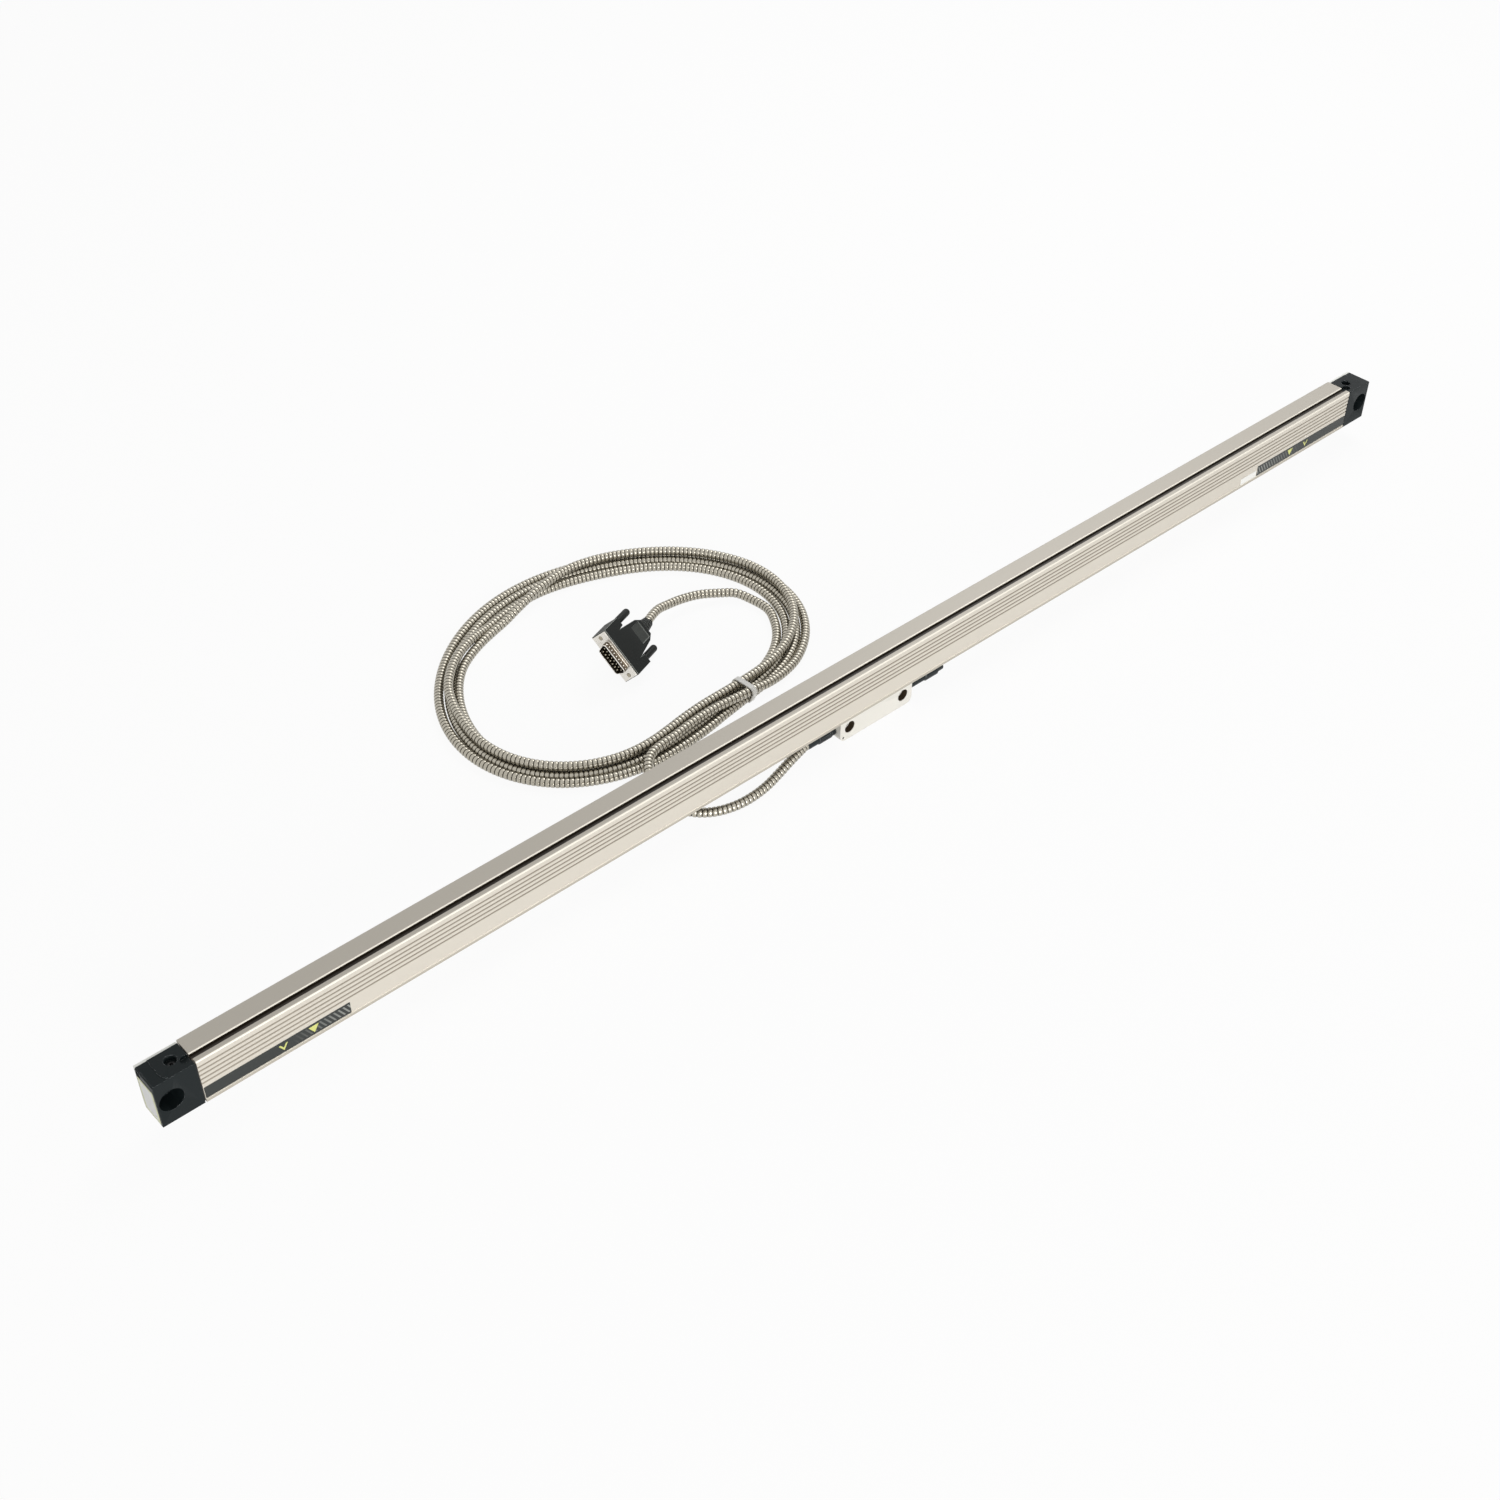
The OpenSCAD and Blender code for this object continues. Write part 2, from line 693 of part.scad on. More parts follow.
module carriage_frame() {
    color("#8f9492") on_carriage() difference() {
        union() {
            translate([-carriage_l / 2, -carriage_w / 2, carriage_z])
                cube([carriage_l, carriage_w, carriage_floor]);
            for (y = [-carriage_w / 2, arm_y]) translate([-carriage_l / 2, y, carriage_z])
                cube([carriage_l, arm_t, arm_h]);
            // lug that takes the coupling wire
            translate([lug_x, -1.2, blade_top + 0.4]) cube([2, 2.4, carriage_z - blade_top - 0.4]);
            // shelves that hold the pins of the face rollers
            roller_places() for (z = [shelf_low, shelf_high])
                translate([-2.5, -arm_y, z]) cube([5, arm_y + face_roller_y + 1, shelf_t]);
        }
        roller_places() {
            bar_y(0, -carriage_w / 2 - cut, edge_roller_z, 2 * edge_pin_r, carriage_w + 2 * cut);
            translate([0, face_roller_y, shelf_low - cut])
                cylinder(r = face_pin_r, h = shelf_high - shelf_low + shelf_t + 2 * cut);
        }
        // windows between the rollers and the optics
        for (side = [-1, 1])
            translate([side * window_x - window_l / 2, -carriage_w / 2 - cut, edge_roller_z + 3])
            cube([window_l, carriage_w + 2 * cut, window_h]);
    }
}

module roller_pins() {
    collar_l = arm_y - edge_roller_w / 2 - 0.1;
    color("#9a9c9e") on_carriage() roller_places() {
        bar_y(0, -carriage_w / 2, edge_roller_z, 2 * edge_pin_r, carriage_w);
        for (y = [-arm_y, arm_y - collar_l])
            bar_y(0, y, edge_roller_z, 2 * edge_pin_r + 1, collar_l);
        translate([0, face_roller_y, shelf_low])
            cylinder(r = face_pin_r, h = face_roller_w + 2 * (shelf_gap + shelf_t));
    }
}

// a ball-bearing ring along Z, crowned a little at both rims
module roller(r, w, bore_r) {
    crown = 0.2;
    rotate_extrude($fn = 64) polygon([[bore_r, -w / 2], [r - crown, -w / 2], [r, crown - w / 2],
                                      [r, w / 2 - crown], [r - crown, w / 2], [bore_r, w / 2]]);
}

module edge_roller(side) {
    color("#c9cbcc") on_carriage() translate([side * roller_pitch / 2, 0, edge_roller_z])
        rotate([90, 0, 0]) roller(edge_roller_r, edge_roller_w, edge_pin_r + run_fit);
}

module face_roller(side) {
    color("#c9cbcc") on_carriage() translate([side * roller_pitch / 2, face_roller_y, face_roller_z])
        roller(face_roller_r, face_roller_w, face_pin_r + run_fit);
}

module edge_roller_left() { edge_roller(-1); }
module edge_roller_right() { edge_roller(1); }
module face_roller_left() { face_roller(-1); }
module face_roller_right() { face_roller(1); }

module light_module() {
    color("#3b3f45") on_carriage() difference() {
        translate([-led_l / 2, -arm_y, scan_z - led_h / 2]) cube([led_l, arm_y + reticle_y, led_h]);
        bar_y(0, reticle_y - 2, scan_z, lens_d + 2 * seat_fit, 2 + cut);
    }
}

module condenser_lens() {
    color("#dfeaf0") on_carriage() translate([0, reticle_y - 2, scan_z]) rotate([-90, 0, 0])
        rotate_extrude($fn = 64) polygon(concat([[0, 0], [lens_d / 2, 0]],
            [for (turn = [0 : 15 : 90]) [lens_d / 2 * cos(turn), 0.6 + 1.2 * sin(turn)]]));
}

module scanning_reticle() {
    color("#cfe3dd") on_carriage() translate([1 - led_l / 2, reticle_y, scan_z - led_h / 2 + 0.5])
        cube([led_l - 2, reticle_t, led_h - 1]);
}

module detector_board() {
    color("#2f6b46") on_carriage() translate([-board_l / 2, arm_y - board_t, scan_z - board_h / 2])
        cube([board_l, board_t, board_h]);
}

module photo_cells() {
    cell_y = glass_t / 2 + scan_gap + 0.1;
    color("#20242b") on_carriage() for (sx = [-1, 1], sz = [-1, 1])
        translate([sx * 3 - 2, cell_y, scan_z + sz * 2.2 - 1.6]) cube([4, arm_y - board_t - cell_y, 3.2]);
}

module coupling_wire() {
    color("#d0cfc8") on_carriage() bar_x(-post_x, 0, wire_z, wire_d, post_x + lug_x);
}

// ---- connector and blind plug ----

// in front of the head's left end, with +X turned away from the head
module at_left_port() {
    translate([head_x - head_l / 2, head_mid_y, conn_z]) mirror([1, 0, 0]) children();
}

module at_right_port() {
    translate([head_x + head_l / 2, head_mid_y, conn_z]) children();
}

module port_seal() {
    turned_x([[conn_thread_d / 2, 0], [shoulder_d / 2 - 0.3, 0], [shoulder_d / 2 - 0.3, conn_seal_t],
              [conn_thread_d / 2, conn_seal_t]]);
}

module port_seals() {
    color("#2a2a2a") {
        at_left_port() port_seal();
        at_right_port() turned_x([[conn_thread_d / 2, 0], [blank_d / 2 - 0.1, 0],
                                  [blank_d / 2 - 0.1, conn_seal_t], [conn_thread_d / 2, conn_seal_t]]);
    }
}

module connector_body() {
    spigot_r = conn_thread_d / 2 - thread_clear;
    color("#17181a") at_left_port() turned_x([[0, -spigot_l], [spigot_r - 0.3, -spigot_l],
        [spigot_r, 0.3 - spigot_l], [spigot_r, conn_seal_t], [shoulder_d / 2, conn_seal_t],
        [shoulder_d / 2, shoulder_l], [stem_r, shoulder_l], [stem_r, conn_l - 4], [0, conn_l - 4]]);
}

module connector_collar() {
    collar_end = shoulder_l + collar_l;
    color("#141517") at_left_port() difference() {
        turned_x([[stem_r + seat_fit, shoulder_l], [collar_d / 2 - 0.4, shoulder_l],
                  [collar_d / 2, shoulder_l + 0.4], [collar_d / 2, collar_end - 0.4],
                  [collar_d / 2 - 0.4, collar_end], [stem_r + seat_fit, collar_end]]);
        for (k = [0 : 11]) rotate([30 * k, 0, 0])
            bar_x(shoulder_l + 2, collar_d / 2 + 0.5, 0, 1.6, collar_l - 4);
    }
}

module connector_sleeve() {
    sleeve_x = shoulder_l + collar_l;
    color("#1d1e20") at_left_port() turned_x([[stem_r + seat_fit, sleeve_x], [sleeve_d / 2, sleeve_x],
        [sleeve_d / 2, conn_l - 2], [cable_d / 2 + 0.1, conn_l], [0, conn_l], [0, conn_l - 4],
        [stem_r + seat_fit, conn_l - 4]]);
}

module blind_plug() {
    spigot_r = conn_thread_d / 2 - thread_clear;
    grip_r = blank_d / 2 + 0.7;
    grip_x = blank_l / 2;
    color("#141517") at_right_port() turned_x([[0, -spigot_l], [spigot_r - 0.3, -spigot_l],
        [spigot_r, 0.3 - spigot_l], [spigot_r, conn_seal_t], [blank_d / 2, conn_seal_t],
        [blank_d / 2, grip_x], [grip_r, grip_x + 0.4], [grip_r, grip_x + collar_l],
        [grip_r - 0.5, grip_x + collar_l + 0.5], [blank_d / 2 - 0.2, grip_x + collar_l + 0.5],
        [blank_d / 2 - 0.4, blank_l - 0.6], [blank_d / 2 - 1, blank_l], [0, blank_l]]);
}

// ---- cable ----

module coil_plan(grow) {
    difference() {
        polygon(egg_line(outer_at, outer_r + grow, outer_oval, outer_egg));
        polygon(egg_line(inner_at, inner_r - grow, inner_oval, inner_egg));
    }
}

// a slab across the coil, as wide as the cable tie
module tie_slab(z0, h) {
    translate([outer_at[0], outer_at[1], z0]) rotate([0, 0, tie_turn])
        translate([0, -tie_w / 2, 0]) cube([outer_r + outer_oval, tie_w, h]);
}

module cable_lead() {
    color("#b9b5aa") tube(concat([lead_start], lead_route), cable_d);
}

module cable_coil() {
    color("#b9b5aa") difference() {
        linear_extrude(coil_h) coil_plan(0);
        tie_slab(-cut, cut + tie_t);
    }
}

module cable_tail() {
    color("#b9b5aa") tube(concat(tail_route, [tail_end]), cable_d);
}

module cable_tie() {
    color("#f2f2ee") difference() {
        intersection() {
            linear_extrude(coil_h + tie_t) coil_plan(tie_t);
            tie_slab(0, coil_h + tie_t);
        }
        translate([0, 0, tie_t]) linear_extrude(coil_h - tie_t) coil_plan(0);
    }
}

// ---- plug: +X is the mating direction, Y runs along the flange, +Z is the side of the longer pin row ----

module on_plug() {
    translate(plug_at) rotate(plug_turn) children();
}

// a plan of the D shape in y and z: the upper side is the longer one, and r rounds its corners
module d_plan(l, w, r) {
    lean = w * tan(shell_slope);
    high = l / 2 - r;
    low = l / 2 - r - lean;
    corners = [[high, w / 2 - r, 0], [-high, w / 2 - r, 90], [-low, r - w / 2, 180], [low, r - w / 2, 270]];
    polygon([for (c = corners, step = [0 : 15 : 90])
        [c[0] + r * cos(c[2] + step), c[1] + r * sin(c[2] + step)]]);
}

module at_jacks() {
    for (side = [-1, 1]) translate([0, side * jack_pitch / 2, 0]) children();
}

module plug_shell() {
    color("#c9c3b4") on_plug() difference() {
        union() {
            translate([-flange_t, -flange_l / 2, -flange_w / 2]) cube([flange_t, flange_l, flange_w]);
            along_x(-flange_t / 2, shell_depth + flange_t / 2) d_plan(shell_l, shell_w, 2.4);
        }
        along_x(-flange_t - cut, shell_depth + flange_t + 2 * cut)
            d_plan(shell_l - 2 * shell_t, shell_w - 2 * shell_t, 2.4 - shell_t);
        at_jacks() bar_x(-flange_t - cut, 0, 0, 2 * jack_r + 0.3, flange_t + 2 * cut);
    }
}

module plug_insulator() {
    gap = 2 * (shell_t + seat_fit);
    color("#1a1512") on_plug() along_x(-flange_t, flange_t + 1) d_plan(shell_l - gap, shell_w - gap, 1.8);
}

module plug_pins() {
    color("#c9a44e") on_plug() for (row = [0, 1], k = [0 : 7 - row])
        translate([1, (k - (7 - row) / 2) * pin_pitch, (0.5 - row) * row_pitch])
            turned_x([[0, 0], [contact_d / 2, 0], [contact_d / 2, 3.8], [contact_d / 4, 4.3], [0, 4.3]]);
}

// the hood seen along Z: a front bar with two ears, and a body with shoulders that narrow to the boot
module hood_plan() {
    half = flange_l / 2 + hood_over;
    ear = half - ear_w;
    notch_x = -ear_l * 0.75;
    notch = ear - 0.6;
    shoulder_x = hood_shoulder_l - hood_l;
    shoulder = hood_shoulder_w / 2;
    polygon([[0, half], [-ear_l, half], [-ear_l, ear], [notch_x, notch], [shoulder_x, shoulder],
             [-hood_l, hood_end_w / 2], [-hood_l, -hood_end_w / 2], [shoulder_x, -shoulder],
             [notch_x, -notch], [-ear_l, -ear], [-ear_l, -half], [0, -half]]);
}

// the hood seen along Y: full thickness over the ears, thinner towards the boot
module hood_side() {
    polygon([[0, hood_t / 2], [-ear_l + 2, hood_t / 2], [-hood_l, hood_end_t / 2],
             [-hood_l, -hood_end_t / 2], [-ear_l + 2, -hood_t / 2], [0, -hood_t / 2]]);
}

module plug_hood() {
    panel_l = 11;
    panel_w = 14;
    panel_x = hood_shoulder_l - hood_l - 2;
    panel_z = (hood_t + hood_end_t) / 4 - 0.6;
    color("#1b1c1e") on_plug() translate([-flange_t, 0, 0]) difference() {
        intersection() {
            translate([0, 0, -hood_t / 2]) linear_extrude(hood_t) hood_plan();
            translate([0, flange_l, 0]) rotate([90, 0, 0]) linear_extrude(2 * flange_l) hood_side();
        }
        at_jacks() bar_x(-ear_l - cut, 0, 0, 2 * jack_r + 0.3, ear_l + 2 * cut);
        // label recess on both wide faces, left blank
        for (side = [0, 180]) rotate([side, 0, 0])
            translate([panel_x, -panel_w / 2, panel_z]) cube([panel_l, panel_w, hood_t]);
    }
}

// a stack of ribs that narrows towards the cable
module plug_boot() {
    ribs = 3;
    rib = boot_l / (ribs + 0.5);
    rib_end = 0.7 * rib;
    function rib_r(x) = boot_d / 2 + (boot_end_d - boot_d) / 2 * x / boot_l;
    function rib_outline(x) = [[rib_r(x), x], [rib_r(x + rib_end), x + rib_end],
                               [rib_r(x + rib_end) - 0.7, x + rib_end], [rib_r(x + rib) - 0.7, x + rib]];
    color("#18191b") on_plug() translate([-flange_t - hood_l, 0, 0]) mirror([1, 0, 0])
        turned_x(concat([[0, 0]], [for (k = [0 : ribs - 1]) each rib_outline(k * rib)],
                        [[boot_end_d / 2, boot_l - rib / 2], [boot_end_d / 2, boot_l], [0, boot_l]]));
}

module plug_thumbscrews() {
    grip_x = flange_t + ear_l;
    grip_r = grip_d / 2;
    color("#202123") on_plug() at_jacks() mirror([1, 0, 0]) turned_x(concat(
        [[0, -0.4], [jack_r, -0.2], [jack_r, grip_x], [grip_r * 0.8, grip_x], [grip_r, grip_x + 0.6]],
        [for (turn = [0 : 15 : 90]) [grip_r * cos(turn), grip_x + grip_l - grip_r + grip_r * sin(turn)]]));
}

scale_housing();
left_end_block();
right_end_block();
mounting_pads();
end_gaskets();
end_block_screws();
air_port_screws();
glass_scale();
glass_bond();
front_lip_seal();
rear_lip_seal();
head_block();
head_pin();
head_blade();
blade_screws();
carriage_frame();
roller_pins();
edge_roller_left();
edge_roller_right();
face_roller_left();
face_roller_right();
light_module();
condenser_lens();
scanning_reticle();
detector_board();
photo_cells();
coupling_wire();
port_seals();
connector_body();
connector_collar();
connector_sleeve();
blind_plug();
cable_lead();
cable_coil();
cable_tail();
cable_tie();
plug_hood();
plug_boot();
plug_shell();
plug_insulator();
plug_pins();
plug_thumbscrews();
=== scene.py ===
"""The looks of a linear glass scale: finishes, cable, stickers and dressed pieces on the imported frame."""
import json
import math

import bpy
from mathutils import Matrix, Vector

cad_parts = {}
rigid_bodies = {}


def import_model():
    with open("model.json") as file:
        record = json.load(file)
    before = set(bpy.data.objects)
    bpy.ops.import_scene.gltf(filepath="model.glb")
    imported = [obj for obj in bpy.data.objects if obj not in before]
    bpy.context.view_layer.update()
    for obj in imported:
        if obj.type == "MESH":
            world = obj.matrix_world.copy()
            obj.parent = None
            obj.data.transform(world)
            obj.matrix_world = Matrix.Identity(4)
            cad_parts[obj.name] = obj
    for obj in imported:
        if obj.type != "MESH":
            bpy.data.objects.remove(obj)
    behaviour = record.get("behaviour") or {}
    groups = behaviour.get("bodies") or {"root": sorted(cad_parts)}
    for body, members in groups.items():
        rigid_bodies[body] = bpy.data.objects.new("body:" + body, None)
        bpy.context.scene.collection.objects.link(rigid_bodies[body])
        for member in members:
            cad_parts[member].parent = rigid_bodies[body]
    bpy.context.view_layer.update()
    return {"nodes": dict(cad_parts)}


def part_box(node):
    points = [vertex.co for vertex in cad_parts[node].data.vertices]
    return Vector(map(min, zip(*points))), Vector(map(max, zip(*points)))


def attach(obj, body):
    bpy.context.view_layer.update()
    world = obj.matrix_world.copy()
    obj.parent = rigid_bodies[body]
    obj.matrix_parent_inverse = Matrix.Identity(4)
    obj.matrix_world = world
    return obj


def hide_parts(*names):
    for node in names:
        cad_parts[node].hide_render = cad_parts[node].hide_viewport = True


bl_info = {
    "name": "Linear Glass Scale",
    "version": (1, 0, 0),
    "blender": (4, 5, 0),
    "location": "View3D > Sidebar > Glass Scale",
    "description": "Builds the looks of a sealed linear glass scale with its armoured cable",
    "category": "Object",
}

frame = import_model()

MM = 0.001
HOUSING_LOW, HOUSING_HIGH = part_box("scale_housing")
SLEEVE_LOW, SLEEVE_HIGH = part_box("connector_sleeve")
HEAD_LOW, HEAD_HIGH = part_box("head_block")
# the housing's top, underside and front face, in millimetres
TOP = HOUSING_HIGH.z / MM
UNDERSIDE = HOUSING_LOW.z / MM
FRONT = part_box("left_end_block")[0].y / MM


# ---------------------------------------------------------------- settings

def colour_property(name, description, default):
    """A colour that a user may change."""
    return bpy.props.FloatVectorProperty(name=name, description=description, default=default, size=3,
                                         min=0.0, max=1.0, subtype="COLOR")


class CableSettings(bpy.types.PropertyGroup):
    """Sizes and colours of the armoured cable"""

    diameter: bpy.props.FloatProperty(
        name="Diameter", description="Outer diameter of the armour", default=7.0 * MM, min=0.004,
        max=0.012, unit="LENGTH", subtype="DISTANCE")
    rib_pitch: bpy.props.FloatProperty(
        name="Rib pitch", description="Distance between two ribs of the armour", default=3.3 * MM,
        min=0.0015, max=0.004, unit="LENGTH", subtype="DISTANCE")
    groove_depth: bpy.props.FloatProperty(
        name="Groove depth", description="Depth of the groove between two ribs", default=0.6 * MM,
        min=0.0001, max=0.001, unit="LENGTH", subtype="DISTANCE")
    steel: colour_property("Steel", "Colour of the armour's ribs", (0.47, 0.44, 0.37))
    # painted shade: the colour laid deep between the ribs
    groove: colour_property("Groove", "Colour deep between the ribs", (0.028, 0.022, 0.014))
    tie: colour_property("Tie", "Colour of the cable tie", (0.95, 0.95, 0.92))


class FinishSettings(bpy.types.PropertyGroup):
    """Colours of the housing, the end blocks, the head and the plug"""

    housing: colour_property("Housing", "Colour of the anodised housing", (0.68, 0.635, 0.555))
    block: colour_property("Block", "Colour of the black end blocks", (0.008, 0.012, 0.013))
    head: colour_property("Head", "Colour of the scanning head's block", (0.80, 0.78, 0.72))
    hood: colour_property("Hood", "Colour of the moulded plug hood", (0.007, 0.009, 0.008))
    slate: colour_property("Slate", "Ground colour of the strips on the housing", (0.030, 0.034, 0.032))


class StageSettings(bpy.types.PropertyGroup):
    """Camera, floor and light"""

    camera_place: bpy.props.FloatVectorProperty(
        name="Camera place", description="Place of the camera", default=(-0.7868, -0.7518, 0.9043),
        size=3, unit="LENGTH", subtype="TRANSLATION")
    camera_turn: bpy.props.FloatVectorProperty(
        name="Camera turn", description="Rotation of the camera", size=3,
        default=(math.radians(49.075), 0.0, math.radians(-41.724)), subtype="EULER")
    camera_lens: bpy.props.FloatProperty(
        name="Lens", description="Focal length on a 36 mm sensor, in millimetres", default=47.72,
        min=20.0, max=200.0)
    fill: bpy.props.FloatProperty(
        name="Fill", description="Strength of the even light from all round", default=0.36, min=0.0,
        max=2.0)
    key: bpy.props.FloatProperty(
        name="Key", description="Power of the broad lamp in front", default=56.0, min=0.0, max=500.0,
        unit="POWER")
    top: bpy.props.FloatProperty(
        name="Top", description="Power of the broad lamp above", default=9.0, min=0.0, max=500.0,
        unit="POWER")


# the plug's place in millimetres and its turn in degrees, as in the construction
PLUG_PLACE = (-114.2, 148.0, 22.2)
PLUG_TURN = (-47.0, -7.0, 205.0)


# ---------------------------------------------------------------- shared helpers

def cable():
    return bpy.context.scene.glass_scale_cable


def stage_settings():
    return bpy.context.scene.glass_scale_stage


def finishes():
    return bpy.context.scene.glass_scale_finish


def deselect_all():
    bpy.ops.object.select_all(action="DESELECT")


def make_active(piece):
    deselect_all()
    piece.select_set(True)
    bpy.context.view_layer.objects.active = piece


def mesh_piece(name, points, faces):
    """A new object in the scene from points and faces in the frame."""
    mesh = bpy.data.meshes.new(name)
    mesh.from_pydata([tuple(p) for p in points], [], faces)
    mesh.validate()
    piece = bpy.data.objects.new(name, mesh)
    bpy.context.scene.collection.objects.link(piece)
    return piece


# dressed copies: corners nearer than this are merged, and angles tell flat, smooth and sharp edges apart
MERGE_DISTANCE = 0.003 * MM
FLAT_ANGLE = math.radians(0.6)
SHARP_ANGLE = math.radians(30)
SMOOTH_ANGLE = math.radians(38)


def dressed_copy(node, name, material, bevel, edge=None, clamp=False):
    """A copy of a CAD node with its flat faces whole again and its sharp edges rounded over."""
    source = frame["nodes"][node]
    piece = bpy.data.objects.new(name, source.data.copy())
    bpy.context.scene.collection.objects.link(piece)
    coat(piece, material)
    piece.data.materials.append(edge or material)
    for face in piece.data.polygons:
        face.material_index = 0
    make_active(piece)
    bpy.ops.object.mode_set(mode="EDIT")
    bpy.ops.mesh.select_all(action="SELECT")
    bpy.ops.mesh.remove_doubles(threshold=MERGE_DISTANCE)
    bpy.ops.mesh.dissolve_limited(angle_limit=FLAT_ANGLE)
    bpy.ops.mesh.normals_make_consistent(inside=False)
    bpy.ops.object.mode_set(mode="OBJECT")
    bpy.ops.object.shade_smooth_by_angle(angle=SMOOTH_ANGLE)
    round_over = piece.modifiers.new("round_over", "BEVEL")
    round_over.width = bevel * MM
    round_over.segments = 2
    round_over.limit_method = "ANGLE"
    round_over.angle_limit = SHARP_ANGLE
    round_over.use_clamp_overlap = clamp
    round_over.material = 1
    round_over.harden_normals = True
    bpy.ops.object.modifier_apply(modifier=round_over.name)
    return piece


def place_piece(piece, body, slot, *nodes):
    """Attaches a piece to the body it rides on and hides the CAD nodes it stands for; its slot is not used.
    """
    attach(piece, body)
    if nodes:
        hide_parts(*nodes)


def coat(piece, material):
    piece.data.materials.clear()
    piece.data.materials.append(material)


def coat_node(node, material):
    """Gives a CAD node a finish on its object's slots, and leaves its mesh alone."""
    piece = frame["nodes"][node]
    if not piece.material_slots:
        piece.data.materials.append(material)
    for slot in piece.material_slots:
        slot.link = "OBJECT"
        slot.material = material


# ---------------------------------------------------------------- wiring of materials

def new_material(name):
    """A material, its node tree and its Principled BSDF."""
    material = bpy.data.materials.new(name)
    material.use_nodes = True
    tree = material.node_tree
    return material, tree, tree.nodes["Principled BSDF"]


def colour4(colour):
    return (*colour, 1.0)


def set_values(node, **values):
    """Plain values on a node's own sockets, by their names with underscores for spaces."""
    for key, value in values.items():
        node.inputs[key.replace("_", " ")].default_value = value


def feed(tree, socket, value):
    """Links another node's output to a socket, or gives the socket a plain value."""
    if isinstance(value, bpy.types.NodeSocket):
        tree.links.new(value, socket)
    else:
        socket.default_value = value


def math_node(tree, operation, *values):
    """A Math node on plain numbers and other nodes' outputs; gives its output."""
    node = tree.nodes.new("ShaderNodeMath")
    node.operation = operation
    for socket, value in zip(node.inputs, values):
        feed(tree, socket, value)
    return node.outputs["Value"]


def vector_node(tree, operation, vector, other):
    """A Vector Math node on a vector and a scale or a second vector."""
    node = tree.nodes.new("ShaderNodeVectorMath")
    node.operation = operation
    feed(tree, node.inputs[0], vector)
    feed(tree, node.inputs["Scale" if operation == "SCALE" else 1], other)
    return node


def noise(tree, vector, scale, detail=2.0):
    """Noise on a vector; gives its output."""
    node = tree.nodes.new("ShaderNodeTexNoise")
    feed(tree, node.inputs["Vector"], vector)
    feed(tree, node.inputs["Scale"], scale)
    feed(tree, node.inputs["Detail"], detail)
    return node.outputs["Fac"]


def ramp(tree, value, start, end, low=0.0, high=1.0, smooth=False):
    """Goes from low to high as a value goes from start to end; gives its output."""
    node = tree.nodes.new("ShaderNodeMapRange")
    if smooth:
        node.interpolation_type = "SMOOTHSTEP"
    set_values(node, From_Min=start, From_Max=end, To_Min=low, To_Max=high)
    feed(tree, node.inputs["Value"], value)
    return node.outputs["Result"]


def axes(tree, vector):
    """X, Y and Z of a vector."""
    parts = tree.nodes.new("ShaderNodeSeparateXYZ")
    feed(tree, parts.inputs["Vector"], vector)
    return parts.outputs["X"], parts.outputs["Y"], parts.outputs["Z"]


def split_place(tree):
    """X, Y and Z of the surface in millimetres, in the frame."""
    place = tree.nodes.new("ShaderNodeTexCoord").outputs["Object"]
    return axes(tree, vector_node(tree, "SCALE", place, 1 / MM).outputs["Vector"])


def split_plug_place(tree):
    """X, Y and Z in millimetres in the plug's own frame, where X points out of its mouth."""
    turned = tree.nodes.new("ShaderNodeMapping")
    turned.vector_type = "TEXTURE"
    set_values(turned, Location=[v * MM for v in PLUG_PLACE], Rotation=[math.radians(v) for v in PLUG_TURN],
               Scale=(MM, MM, MM))
    feed(tree, turned.inputs["Vector"], tree.nodes.new("ShaderNodeTexCoord").outputs["Object"])
    return axes(tree, turned.outputs["Vector"])


def inside(tree, value, low, high):
    """1 where a value lies between two limits, else 0."""
    over = math_node(tree, "GREATER_THAN", value, low)
    under = math_node(tree, "LESS_THAN", value, high)
    return math_node(tree, "MULTIPLY", over, under)


def both(tree, *masks):
    """1 where all masks are 1."""
    total = masks[0]
    for mask in masks[1:]:
        total = math_node(tree, "MULTIPLY", total, mask)
    return total


def repeats(tree, value, pitch, start):
    """The share of the way from one repeat to the next; whole numbers in start only keep the sum above 0."""
    return math_node(tree, "FRACT", math_node(tree, "MULTIPLY_ADD", value, 1 / pitch, start))


def away_from(tree, value, middle):
    """The distance of a value from a middle, on either side."""
    return math_node(tree, "ABSOLUTE", math_node(tree, "SUBTRACT", value, middle))


def tint(tree, mask, below, colour):
    """Lays a colour over another where a mask is 1; gives the mixed colour's output."""
    # a Mix node's colours are its inputs 6 and 7 and its output 2
    mix = tree.nodes.new("ShaderNodeMix")
    mix.data_type = "RGBA"
    feed(tree, mix.inputs["Factor"], mask)
    feed(tree, mix.inputs[6], below)
    feed(tree, mix.inputs[7], colour4(colour))
    return mix.outputs[2]


def paint(material, *layers):
    """Lays colours over a finish's own colour, each where its mask is 1."""
    tree = material.node_tree
    colour = next(n for n in tree.nodes if n.type == "GROUP").outputs["Colour"]
    for mask, shade in layers:
        colour = tint(tree, mask, colour, shade)
    feed(tree, tree.nodes["Principled BSDF"].inputs["Base Color"], colour)
    return material


def mix_shaders(tree, share, first, second):
    """Goes from one shader to another as a share goes from 0 to 1; gives its output."""
    mix = tree.nodes.new("ShaderNodeMixShader")
    for socket, value in zip(mix.inputs, (share, first, second)):
        feed(tree, socket, value)
    return mix.outputs["Shader"]


def seen_directly(tree):
    """1 for rays from the camera, off gloss and through glass."""
    path = tree.nodes.new("ShaderNodeLightPath")
    seen = math_node(tree, "MAXIMUM", path.outputs["Is Camera Ray"], path.outputs["Is Glossy Ray"])
    return math_node(tree, "MAXIMUM", seen, path.outputs["Is Transmission Ray"])


# ---------------------------------------------------------------- materials

